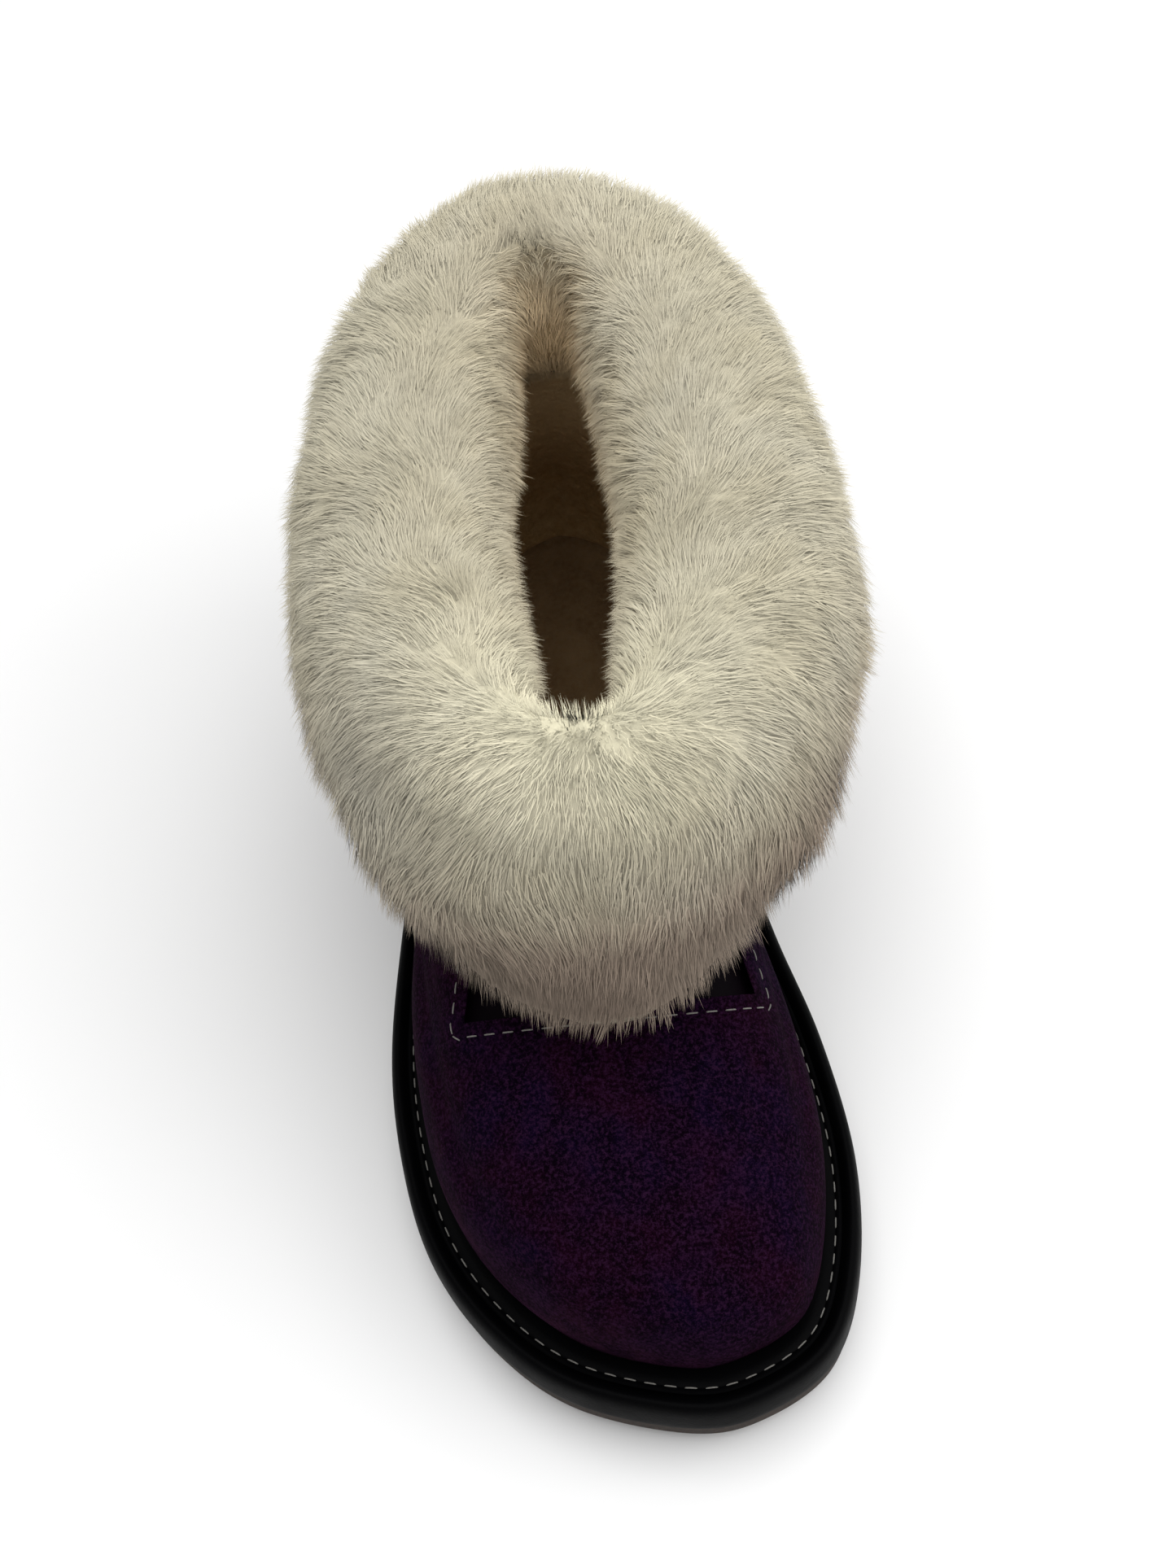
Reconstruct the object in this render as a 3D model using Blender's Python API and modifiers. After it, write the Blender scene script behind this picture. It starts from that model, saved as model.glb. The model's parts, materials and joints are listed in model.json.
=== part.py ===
"""A right-foot sheepskin bootie slipper, standing empty on its sole.

Frame: metres, +Z up, -Y towards the toe, +X towards the big toe's side.
The origin is on the floor, under the middle of the heel.
A side value below zero is on the outer (lateral) side of the foot, above zero on the inner (medial) side.
"""

import math

import bmesh
import bpy
import numpy as np

MM = 0.001

# Driving sizes of the sole
SOLE_LENGTH = 265 * MM
BALL_WIDTH = 104 * MM
HEEL_WIDTH = 76 * MM
HEEL_REACH = 38 * MM  # from the origin back to the end of the sole
OUTSOLE_THICK = 4 * MM
OUTSOLE_INSET = 0.8 * MM  # from the platform's outline in to the outsole's edge
OUTSOLE_BEVEL = 0.7 * MM  # along the foot of that edge
MIDSOLE_THICK = 9.5 * MM  # the black wrapped platform, floor of the shoe
TOE_SPRING = 5 * MM  # lift of the sole's tip above the floor
TOE_SPRING_RUN = 58 * MM  # length over which the tip lifts
HEEL_BEVEL = 1.5 * MM  # lift of the outsole's back edge
HEEL_BEVEL_RUN = 14 * MM
ARCH_LIFT = 1.4 * MM  # hollow under the waist of the outsole
BEAD_RISE = 1.7 * MM  # rolled rim of the platform above its flat top
BEAD_WIDTH = 4.2 * MM

# Driving sizes of the upper and of what is sewn to it
FEATHER_INSET = 9.6 * MM  # from the sole's outline in to the upper's lower edge
UPPER_WALL = 2.0 * MM
VAMP_HEIGHT = 46 * MM  # ridge of the vamp above the welt, behind the throat's front edge
SHAFT_HEIGHT = 97 * MM  # back of the suede shaft above the welt
COLLAR_WIDTH = 78 * MM  # suede shaft across its top line
COLLAR_MIDDLE = 5 * MM  # middle of the top line, off the heel's middle towards the inner side
WELT_THICK = 1.2 * MM
INSOLE_THICK = 4.5 * MM
INSOLE_ROUND = 1.2 * MM  # its top edge is rounded over by this much
TONGUE_THICK = 1.5 * MM
THROAT_FROM_TOE = 72.5 * MM  # front edge of the squared throat, on the vamp's ridge
THROAT_WIDTH = 61 * MM
THROAT_MIDDLE = 2.5 * MM  # off the heel's middle towards the inner side
THROAT_DEPTH = 56 * MM  # along the shoe, through the front of the shaft
THROAT_NARROWS = 11 * MM  # each side comes in by this much over the depth
THROAT_SLOPE = 28  # degrees, the vamp's rise where the throat is cut square to it
THROAT_BELOW = 0.7  # the block that cuts it reaches this share of the vamp's height below the ridge
THROAT_ABOVE = 2.0
THROAT_OVERLAP = 7 * MM  # the tongue reaches this far under the suede

# Driving sizes of the sheepskin cuff
OUTER_PILE = 22 * MM
INNER_PILE = 22 * MM
INNER_PILE_ENDS = 12 * MM  # at the toe's and the heel's end of the opening
CROWN_PILE = 19 * MM
HEM_DROOP = 3 * MM  # the hem's lip hangs below the skin's edge by this much
LOCK_LENGTH = 21 * MM
LOCK_RADIUS = 8.5 * MM
LOCK_STAND = 3.0 * MM  # a lock's back stands off the fleece by this much
LOCK_SIDES = 5
LOCK_SWING = 0.35  # how far a lock's tip swings sideways, as a share of its length

# Clearances
GAP = 0.3 * MM  # between pieces that are stuck or sewn together
TONGUE_GAP = 0.6 * MM  # between the tongue and the curved wall above it
SOFT_GAP = 0.6 * MM  # between the cuff and the curved wall that it straddles
INSOLE_CLEARANCE = 1.0 * MM

# Stations along each side of a ring, from toe to heel
UPPER_STATIONS = 26
SOLE_STATIONS = 28
CUFF_STATIONS = 28
UPPER_LEVELS = 14
SMOOTH_ANGLE = 40  # degrees, edges flatter than this are shaded round

PLATFORM_TOP = OUTSOLE_THICK + GAP + MIDSOLE_THICK
WELT_TOP = PLATFORM_TOP + GAP + WELT_THICK
FEATHER_HEIGHT = WELT_TOP + GAP
TOE_Y = HEEL_REACH - SOLE_LENGTH

# The sole's outline, from the toe's tip round the outer side and back by the inner side.
# along is a share of the sole's length from the toe; side is a share of half the ball's or the heel's width.
OUTLINE = (
    # along, side, width
    (0.000, 0.25, "ball"),
    (0.030, -0.22, "ball"),
    (0.085, -0.55, "ball"),
    (0.160, -0.79, "ball"),
    (0.250, -0.91, "ball"),
    (0.360, -0.95, "ball"),
    (0.510, -0.88, "ball"),
    (0.680, -1.06, "heel"),
    (0.850, -0.99, "heel"),
    (0.950, -0.68, "heel"),
    (1.000, 0.00, "heel"),
    (0.950, 0.68, "heel"),
    (0.850, 0.96, "heel"),
    (0.700, 0.93, "heel"),
    (0.570, 0.99, "heel"),
    (0.440, 0.85, "ball"),
    (0.330, 0.985, "ball"),
    (0.215, 1.055, "ball"),
    (0.115, 1.00, "ball"),
    (0.045, 0.85, "ball"),
    (0.008, 0.56, "ball"),
)

# The upper's rings from its lower edge to its top line. Each ring lies in a plane through a front and a back point.
# front and back are shares of the sole's length from the toe's tip; front_up is a share of the vamp's height and
# back_up of the shaft's; fore and rear are widths as shares of the lower edge's, and oval is how far the ring has
# gone over from the foot's outline to the oval of the collar.
RINGS = (
    # front, front_up, back, back_up, fore, rear, oval
    (0.036, 0.00, 0.964, 0.00, 1.00, 1.00, 0.00),
    (0.030, 0.15, 0.970, 0.09, 1.035, 1.03, 0.00),
    (0.032, 0.33, 0.969, 0.20, 1.035, 1.03, 0.02),
    (0.048, 0.51, 0.962, 0.31, 0.99, 1.02, 0.08),
    (0.088, 0.67, 0.950, 0.42, 0.90, 1.01, 0.18),
    (0.146, 0.80, 0.938, 0.53, 0.82, 1.01, 0.32),
    (0.210, 0.91, 0.929, 0.64, 0.76, 1.02, 0.48),
    (0.272, 1.03, 0.922, 0.74, 0.72, 1.04, 0.64),
    (0.326, 1.18, 0.917, 0.83, 0.70, 1.06, 0.80),
    (0.362, 1.37, 0.915, 0.90, 0.70, 1.08, 0.92),
    (0.376, 1.57, 0.915, 0.95, 0.70, 1.08, 1.00),
    (0.382, 1.75, 0.916, 1.00, 0.70, 1.08, 1.00),
)

# The fleece side of the cuff's section, from the foot of the roll inside the shaft over the crown to the hem.
# place runs from 0 at the hem to 1 at the top line, and on to 2 at the foot of the roll inside; out is a share of the
# outer or the inner pile, up a share of the crown's, and level is 1 where out is measured level, 0 square to the wall.
FLEECE = (
    # place, out, up, level
    (1.97, -0.50, 0.00, 1.0),
    (1.62, -0.93, 0.00, 1.0),
    (1.15, -1.02, 0.08, 1.0),
    (1.00, -0.72, 0.70, 1.0),
    (1.00, -0.05, 1.00, 1.0),
    (1.00, 0.58, 0.80, 1.0),
    (0.97, 0.95, 0.20, 0.8),
    (0.68, 1.03, 0.00, 0.5),
    (0.34, 0.96, 0.00, 0.4),
    (0.04, 0.56, 0.00, 0.3),
)

# The hem's level on the upper, and the depth in levels of the fleece roll inside the shaft. Each starts at its front
# value, and changes by rise from one share of the way to the heel to another.
HEM_FRONT = 0.60
HEM_STEPS = (
    # rise, low, high
    (0.03, 0.03, 0.20),
    (-0.29, 0.28, 0.62),
)
ROLL_FRONT = 0.13
ROLL_STEPS = (
    # rise, low, high
    (0.21, 0.15, 0.80),
)

# Rows of fleece locks, fused on round the cuff. where is the row's place among the FLEECE rows, lie is how its tips
# lie: 1 towards the hem, -1 towards the inside.
LOCKS = (
    # where, count, lie
    (3.3, 12, -1),
    (4.7, 15, 1),
    (6.0, 17, 1),
    (7.2, 17, 1),
    (8.3, 17, 1),
)

# A lock's two rings behind its tip. reach is a share of the lock's length from its root, stand a share of how far its
# back stands off the fleece, size a share of its radius.
LOCK_RINGS = (
    # reach, stand, size
    (0.00, -1.1, 0.7),
    (0.40, -0.3, 1.0),
)
LOCK_SPAN = 10  # points to a stretch of the fleece curve that the locks are placed on
LOCK_ROOT = 0.30  # the root lies this share of the length behind the lock's own row
LOCK_ROUND = 1.2  # half height of a lock's ring, as a share of its stand
LOCK_TIP = 0.1  # height of its tip, as a share of its stand

# Side profile of the wrapped platform, from its foot up over the rolled rim.
# inset is a share of the rim's width, up a share of the platform's thickness, bead a share of the rim's rise.
PLATFORM_PROFILE = (
    # inset, up, bead
    (0.55, 0.00, 0.0),
    (0.12, 0.12, 0.0),
    (0.00, 0.45, 0.0),
    (0.04, 0.80, 0.0),
    (0.22, 1.00, 0.5),
    (0.50, 1.00, 1.0),
    (0.78, 1.00, 0.6),
    (1.00, 1.00, 0.0),
)


def smooth_step(value, low, high):
    share = np.clip((value - low) / (high - low), 0.0, 1.0)
    return share * share * (3 - 2 * share)


def through(points, per_span, closed):
    """Points of a Catmull-Rom curve through the given ones, per_span to each stretch."""
    points = np.asarray(points, float)
    if closed:
        ends = np.vstack([points[-1:], points, points[:2]])
    else:
        ends = np.vstack([2 * points[0] - points[1], points, 2 * points[-1] - points[-2]])
    found = []
    for a, b, c, d in zip(ends, ends[1:], ends[2:], ends[3:]):
        for share in np.arange(per_span) / per_span:
            found.append(
                0.5
                * (
                    2 * b
                    + (c - a) * share
                    + (2 * a - 5 * b + 4 * c - d) * share**2
                    + (3 * b - a - 3 * c + d) * share**3
                )
            )
    if not closed:
        found.append(points[-1])
    return np.array(found)


def sole_curve():
    half = {"ball": BALL_WIDTH / 2, "heel": HEEL_WIDTH / 2}
    corners = [(side * half[width], TOE_Y + along * SOLE_LENGTH) for along, side, width in OUTLINE]
    return through(corners, 60, closed=True)


SOLE_CURVE = sole_curve()


def sides(inset, stations):
    """Outer and inner side of the sole's outline, moved in by inset, at the same stations along the shoe.

    Stations follow a cosine, so that they crowd at the toe and the heel where the outline turns."""
    ahead = np.roll(SOLE_CURVE, -1, axis=0) - np.roll(SOLE_CURVE, 1, axis=0)
    inward = np.stack([-ahead[:, 1], ahead[:, 0]], axis=1)
    inward /= np.linalg.norm(inward, axis=1)[:, None]
    curve = SOLE_CURVE - inward * inset
    if np.ptp(curve[:, 1]) > np.ptp(SOLE_CURVE[:, 1]):
        curve = SOLE_CURVE + inward * inset
    toe, heel = curve[:, 1].argmin(), curve[:, 1].argmax()
    curve = np.roll(curve, -toe, axis=0)
    heel = (heel - toe) % len(curve)
    outer = curve[: heel + 1]
    inner = np.vstack([curve[heel:], curve[:1]])[::-1]
    share = (1 - np.cos(math.pi * np.arange(stations + 1) / stations)) / 2
    y = outer[0, 1] + share * (outer[-1, 1] - outer[0, 1])
    return y, np.interp(y, outer[:, 1], outer[:, 0]), np.interp(y, inner[:, 1], inner[:, 0])


def spring(y):
    """How far the whole shoe lifts towards the tip of its toe."""
    share = np.clip((TOE_Y + TOE_SPRING_RUN - y) / TOE_SPRING_RUN, 0.0, 1.0)
    return TOE_SPRING * share**2


def tread_lift(y):
    """How far the outsole's underside is off its two flat spots: hollow at the waist, bevelled at the heel."""
    from_toe = (y - TOE_Y) / SOLE_LENGTH
    arch = ARCH_LIFT * smooth_step(from_toe, 0.44, 0.54) * (1 - smooth_step(from_toe, 0.62, 0.72))
    back = np.clip((y - HEEL_REACH + HEEL_BEVEL_RUN) / HEEL_BEVEL_RUN, 0.0, 1.0)
    return arch + HEEL_BEVEL * back**2


def ring_of(inset, height, stations, lift=None):
    """One closed ring of points round the sole at a height, outer side first from toe to heel."""
    y, outer, inner = sides(inset, stations)
    x = np.concatenate([outer, inner[-2:0:-1]])
    y = np.concatenate([y, y[-2:0:-1]])
    z = height + spring(y)
    if lift is not None:
        z = z + lift(y)
    return np.stack([x, y, z], axis=1)


def mesh_object(name, material, vertices, faces, collection):
    mesh = bpy.data.meshes.new(name)
    mesh.from_pydata([tuple(v) for v in vertices], [], faces)
    shape = bmesh.new()
    shape.from_mesh(mesh)
    bmesh.ops.recalc_face_normals(shape, faces=shape.faces)
    shape.to_mesh(mesh)
    shape.free()
    mesh.shade_smooth()
    mesh.set_sharp_from_angle(angle=math.radians(SMOOTH_ANGLE))
    made = bpy.data.objects.new(name, mesh)
    made.data.materials.append(material)
    collection.objects.link(made)
    return made


def belt_faces(rings, points, closed=False):
    """Quads between rings that follow each other; closed also joins the last ring to the first."""
    faces = []
    for ring in range(rings if closed else rings - 1):
        low, high = ring * points, (ring + 1) % rings * points
        for i in range(points):
            j = (i + 1) % points
            faces.append((low + i, low + j, high + j, high + i))
    return faces


def cap_faces(start, stations):
    """A ladder of faces that closes a ring, each rung joining the outer and the inner side."""
    count = 2 * stations
    faces = [(start, start + 1, start + count - 1)]
    for i in range(1, stations - 1):
        faces.append((start + i, start + i + 1, start + count - i - 1, start + count - i))
    faces.append((start + stations - 1, start + stations, start + stations + 1))
    return faces


def stack(name, material, rings, collection):
    """A closed solid from rings of points, with a ladder cap on the first and the last."""
    points = len(rings[0])
    faces = belt_faces(len(rings), points)
    faces += cap_faces(0, points // 2) + cap_faces((len(rings) - 1) * points, points // 2)
    return mesh_object(name, material, np.vstack(rings), faces, collection)


def build_outsole(material, collection):
    """Flat rubber sole, its edge a little inside the platform's."""
    rings = [
        ring_of(OUTSOLE_INSET + OUTSOLE_BEVEL, 0.0, SOLE_STATIONS, tread_lift),
        ring_of(OUTSOLE_INSET, OUTSOLE_BEVEL, SOLE_STATIONS, tread_lift),
        ring_of(OUTSOLE_INSET, OUTSOLE_THICK, SOLE_STATIONS),
    ]
    return stack("outsole", material, rings, collection)


def build_platform(material, collection):
    """Black leather wrapped over a foam platform, with a rolled rim round a flat top."""
    rings = []
    for inset, up, bead in PLATFORM_PROFILE:
        height = OUTSOLE_THICK + GAP + up * MIDSOLE_THICK + bead * BEAD_RISE
        rings.append(ring_of(inset * BEAD_WIDTH, height, SOLE_STATIONS))
    return stack("midsole", material, rings, collection)


def build_welt(material, collection):
    """Flat black leather strip between the rolled rim and the upper, which stands on its inner half."""
    outer = BEAD_WIDTH + GAP
    inner = FEATHER_INSET + UPPER_WALL
    low = PLATFORM_TOP + GAP
    corners = ((outer, low), (outer, low + WELT_THICK), (inner, low + WELT_THICK), (inner, low))
    rings = [ring_of(inset, height, SOLE_STATIONS) for inset, height in corners]
    faces = belt_faces(len(rings), len(rings[0]), closed=True)
    return mesh_object("welt", material, np.vstack(rings), faces, collection)


def build_insole(material, collection):
    """Sheepskin insole lying on the platform, inside the welt and the upper."""
    inset = FEATHER_INSET + UPPER_WALL + INSOLE_CLEARANCE
    low = PLATFORM_TOP + GAP
    rings = [
        ring_of(inset, low, SOLE_STATIONS),
        ring_of(inset, low + INSOLE_THICK - INSOLE_ROUND, SOLE_STATIONS),
        ring_of(inset + INSOLE_ROUND, low + INSOLE_THICK, SOLE_STATIONS),
    ]
    return stack("insole", material, rings, collection)


FINE = 720
FINE_Y, FINE_OUTER, FINE_INNER = sides(FEATHER_INSET, FINE)
FINE_RINGS = through(RINGS, 40, closed=False)
SOLE_Y, SOLE_OUTER, SOLE_INNER = sides(0.0, FINE)
SOLE_MIDDLE = (SOLE_OUTER + SOLE_INNER) / 2


def surface(turn, level):
    """Point of the upper's outside. turn runs 0 to 1 down the outer side from toe to heel and 1 to 2 back by the
    inner side; level runs 0 at the lower edge to 1 at the top line."""
    turn, level = np.broadcast_arrays(np.asarray(turn, float) % 2.0, np.asarray(level, float))
    rows = np.linspace(0.0, 1.0, len(FINE_RINGS))
    front, front_up, back, back_up, fore, rear, oval = (
        np.interp(level, rows, FINE_RINGS[:, column]) for column in range(FINE_RINGS.shape[1])
    )
    down = np.where(turn <= 1.0, turn, 2.0 - turn)
    share = (1 - np.cos(math.pi * down)) / 2
    places = np.arange(FINE + 1) / FINE
    side = np.where(
        turn <= 1.0, np.interp(down, places, FINE_OUTER), np.interp(down, places, FINE_INNER)
    )
    base_y = FINE_Y[0] + share * (FINE_Y[-1] - FINE_Y[0])
    y = TOE_Y + (front + share * (back - front)) * SOLE_LENGTH
    width = fore + (rear - fore) * smooth_step(share, 0.15, 0.75)
    middle = np.interp(y, SOLE_Y, SOLE_MIDDLE)
    foot = middle + (side - np.interp(base_y, SOLE_Y, SOLE_MIDDLE)) * width
    away = np.where(turn <= 1.0, -1.0, 1.0) * np.sin(math.pi * down) ** 0.82
    x = foot + (COLLAR_MIDDLE + away * COLLAR_WIDTH / 2 - foot) * oval
    front_z = front_up * VAMP_HEIGHT
    z = FEATHER_HEIGHT + front_z + share * (back_up * SHAFT_HEIGHT - front_z) + spring(y)
    return np.stack([x, y, z], axis=-1)


def outward(turn, level):
    """Unit normal of the upper's outside."""
    step = 0.004
    low, high = np.clip(level - step, 0.0, 1.0), np.clip(level + step, 0.0, 1.0)
    along = surface(turn + step, level) - surface(turn - step, level)
    rise = surface(turn, high) - surface(turn, low)
    normal = np.cross(rise, along)
    return normal / np.linalg.norm(normal, axis=-1, keepdims=True)


def upper_grid(offset):
    """The upper's open surface, moved in by offset, as vertices and faces."""
    turns = np.arange(2 * UPPER_STATIONS) / UPPER_STATIONS
    levels = np.linspace(0.0, 1.0, UPPER_LEVELS)
    rings = [surface(turns, level) - outward(turns, level) * offset for level in levels]
    return np.vstack(rings), belt_faces(UPPER_LEVELS, 2 * UPPER_STATIONS)


def throat_prism(name, margin, collection):
    """Block through the vamp and the front of the shaft, square to the vamp's slope, grown by margin."""
    ridge = FEATHER_HEIGHT + VAMP_HEIGHT
    front, back = TOE_Y + THROAT_FROM_TOE - margin, TOE_Y + THROAT_FROM_TOE + THROAT_DEPTH
    near, far = THROAT_WIDTH / 2 + margin, THROAT_WIDTH / 2 + margin - THROAT_NARROWS
    plan = ((-near, front), (near, front), (far, back), (-far, back))
    lean = math.tan(math.radians(THROAT_SLOPE))
    vertices = []
    for z in (ridge - THROAT_BELOW * VAMP_HEIGHT, ridge + THROAT_ABOVE * VAMP_HEIGHT):
        vertices += [(THROAT_MIDDLE + x, y - (z - ridge) * lean, z) for x, y in plan]
    faces = [(3, 2, 1, 0), (4, 5, 6, 7), (0, 1, 5, 4), (1, 2, 6, 5), (2, 3, 7, 6), (3, 0, 4, 7)]
    cutter = mesh_object(name, bpy.data.materials["suede"], vertices, faces, collection)
    cutter.hide_render = True
    cutter.display_type = "WIRE"
    return cutter


def walled(made, thickness):
    wall = made.modifiers.new("wall", "SOLIDIFY")
    wall.thickness = thickness
    wall.offset = -1
    wall.use_even_offset = True
    wall.use_rim = True


def cut(made, cutter, operation):
    change = made.modifiers.new("throat", "BOOLEAN")
    change.operation = operation
    change.object = cutter
    change.solver = "EXACT"


def build_upper(material, collection, cutters):
    """Purple suede vamp and shaft in one hollow wall, open below and at the top, with a squared throat."""
    vertices, faces = upper_grid(0.0)
    made = mesh_object("upper", material, vertices, faces, collection)
    walled(made, UPPER_WALL)
    cut(made, throat_prism("throat_cutter", 0.0, cutters), "DIFFERENCE")
    return made


def build_tongue(material, collection, cutters):
    """Smooth leather tongue lying inside the throat and showing through it."""
    vertices, faces = upper_grid(UPPER_WALL + TONGUE_GAP)
    made = mesh_object("tongue", material, vertices, faces, collection)
    walled(made, TONGUE_THICK)
    cut(made, throat_prism("tongue_outline", THROAT_OVERLAP, cutters), "INTERSECT")
    return made


def stepped(turn, front, steps):
    """A value that starts at front over the toe and changes in soft steps on the way to the heel, on both sides."""
    from_toe = 1 - np.abs((turn % 2.0) - 1.0)
    return front + sum(rise * smooth_step(from_toe, low, high) for rise, low, high in steps)


def hem_level(turn):
    """Level of the cuff's lower edge round the shoe: on the instep in front, low along the sides and the heel."""
    return stepped(turn, HEM_FRONT, HEM_STEPS)


def inner_drop(turn):
    """Depth of the fleece roll inside the shaft, in levels: short at the instep, deep at the heel."""
    return stepped(turn, ROLL_FRONT, ROLL_STEPS)


UP = np.array([0.0, 0.0, 1.0])
INSIDE = UPPER_WALL + TONGUE_GAP + TONGUE_THICK + SOFT_GAP


def fleece_rows(turns):
    """Control points of the fleece side at each turn, one row of them for each row of FLEECE."""
    hem, drop = hem_level(turns), inner_drop(turns)
    rows = []
    for place, out, up, flat in FLEECE:
        level = hem + (1 - hem) * place if place <= 1 else 1 - drop * (place - 1)
        square = outward(turns, level)
        level_out = square * np.array([1.0, 1.0, 0.0])
        level_out /= np.linalg.norm(level_out, axis=1)[:, None]
        way = square + (level_out - square) * flat
        way /= np.linalg.norm(way, axis=1)[:, None]
        if out > 0:
            reach = np.full_like(turns, SOFT_GAP + out * OUTER_PILE)
        else:
            ends = np.cos(math.pi * turns) ** 4
            reach = out * (INNER_PILE + (INNER_PILE_ENDS - INNER_PILE) * ends) - INSIDE
        droop = HEM_DROOP * max(0.0, 1 - place / 0.34)
        rows.append(surface(turns, level) + way * reach[:, None] + UP * (up * CROWN_PILE - droop))
    return np.array(rows)


def fleece_curve(turns, per_span):
    """Rings of points over the fleece side, per_span to each stretch between two control rows."""
    rows = fleece_rows(turns)
    return through(rows.reshape(len(rows), -1), per_span, closed=False).reshape(-1, len(turns), 3)


def build_locks(material, collection):
    """Tapered locks in staggered rows, their roots in the fleece and their tips lying along it."""
    vertices, faces = [], []
    for row, (where, count, lie) in enumerate(LOCKS):
        stagger = 0.5 * (row % 2)
        turns = 2 * (np.arange(count) + stagger) / count + 0.02 * np.sin(5 * np.arange(count))
        curve = fleece_curve(turns, LOCK_SPAN)
        place = int(round(where * LOCK_SPAN))
        beside = (fleece_curve(turns + step, LOCK_SPAN)[place] for step in (0.01, -0.01))
        around = next(beside) - next(beside)
        around /= np.linalg.norm(around, axis=1)[:, None]
        along = (curve[place + 1] - curve[place - 1]) * lie
        along /= np.linalg.norm(along, axis=1)[:, None]
        out = np.cross(around, along) * lie
        out /= np.linalg.norm(out, axis=1)[:, None]
        for i in range(count):
            way = along[i] + around[i] * LOCK_SWING * math.sin(2.4 * i + row)
            root = curve[place][i] - way * LOCK_ROOT * LOCK_LENGTH
            start = len(vertices)
            for reach, stand, size in LOCK_RINGS:
                centre = root + way * reach * LOCK_LENGTH + out[i] * stand * LOCK_STAND
                for k in range(LOCK_SIDES):
                    angle = math.pi / 2 + 2 * math.pi * k / LOCK_SIDES
                    width = around[i] * math.cos(angle) * LOCK_RADIUS
                    height = out[i] * math.sin(angle) * LOCK_ROUND * LOCK_STAND
                    vertices.append(centre + (width + height) * size)
            vertices.append(root + way * LOCK_LENGTH + out[i] * LOCK_TIP * LOCK_STAND)
            tip = start + 2 * LOCK_SIDES
            faces.append(tuple(range(start, start + LOCK_SIDES)))
            for k in range(LOCK_SIDES):
                j = (k + 1) % LOCK_SIDES
                low, high = start + k, start + LOCK_SIDES + k
                faces.append((low, start + j, start + LOCK_SIDES + j, high))
                faces.append((high, start + LOCK_SIDES + j, tip))
    locks = mesh_object("locks", material, vertices, faces, collection)
    locks.hide_render = True
    return locks


def build_cuff(material, collection, cutters):
    """Sheepskin folded over the top line, wool outwards: a thick roll that straddles the wall of the shaft."""
    skin_rings, inner_rings = 6, 3
    turns = np.arange(2 * CUFF_STATIONS) / CUFF_STATIONS
    hem, drop = hem_level(turns), inner_drop(turns)
    rings = []
    for share in np.linspace(0.0, 1.0, skin_rings):
        level = hem + (1 - hem) * share
        rings.append(surface(turns, level) + outward(turns, level) * SOFT_GAP + UP * SOFT_GAP * share)
    for share in np.linspace(0.0, 1.0, inner_rings):
        level = 1 - drop * share
        rings.append(surface(turns, level) - outward(turns, level) * INSIDE + UP * SOFT_GAP * (1 - share))
    curve = fleece_curve(turns, 2)
    rings += [curve[0]] + list(curve[2:])
    faces = belt_faces(len(rings), len(turns), closed=True)
    made = mesh_object("cuff", material, np.vstack(rings), faces, collection)
    fuse = made.modifiers.new("locks", "BOOLEAN")
    fuse.operation = "UNION"
    fuse.object = build_locks(material, cutters)
    fuse.solver = "EXACT"
    fuse.use_self = True
    return made


def finish(name, colour, roughness):
    material = bpy.data.materials.new(name)
    material.use_nodes = True
    shader = material.node_tree.nodes["Principled BSDF"]
    shader.inputs["Base Color"].default_value = (*colour, 1.0)
    shader.inputs["Roughness"].default_value = roughness
    shader.inputs["Metallic"].default_value = 0.0
    return material


def folder(name):
    made = bpy.data.collections.new(name)
    bpy.context.scene.collection.children.link(made)
    return made


def main():
    for old in list(bpy.data.objects):
        bpy.data.objects.remove(old, do_unlink=True)
    shoe, cutters = folder("bootie_slipper"), folder("cutters")
    suede = finish("suede", (0.018, 0.005, 0.019), 0.95)
    wrap = finish("black_leather", (0.004, 0.004, 0.005), 0.45)
    smooth = finish("tongue_leather", (0.006, 0.003, 0.006), 0.55)
    rubber = finish("brown_rubber", (0.024, 0.014, 0.009), 0.80)
    wool = finish("wool", (0.62, 0.57, 0.43), 1.00)
    pad = finish("insole_fleece", (0.28, 0.18, 0.08), 1.00)
    build_outsole(rubber, shoe)
    build_platform(wrap, shoe)
    build_welt(wrap, shoe)
    build_insole(pad, shoe)
    build_upper(suede, shoe, cutters)
    build_tongue(smooth, shoe, cutters)
    build_cuff(wool, shoe, cutters)


main()
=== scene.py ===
"""Looks for the sheepskin bootie slipper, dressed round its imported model."""

import json
import math

import bmesh
import bpy
import numpy as np
from mathutils import Matrix, Vector
from mathutils.bvhtree import BVHTree

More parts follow.
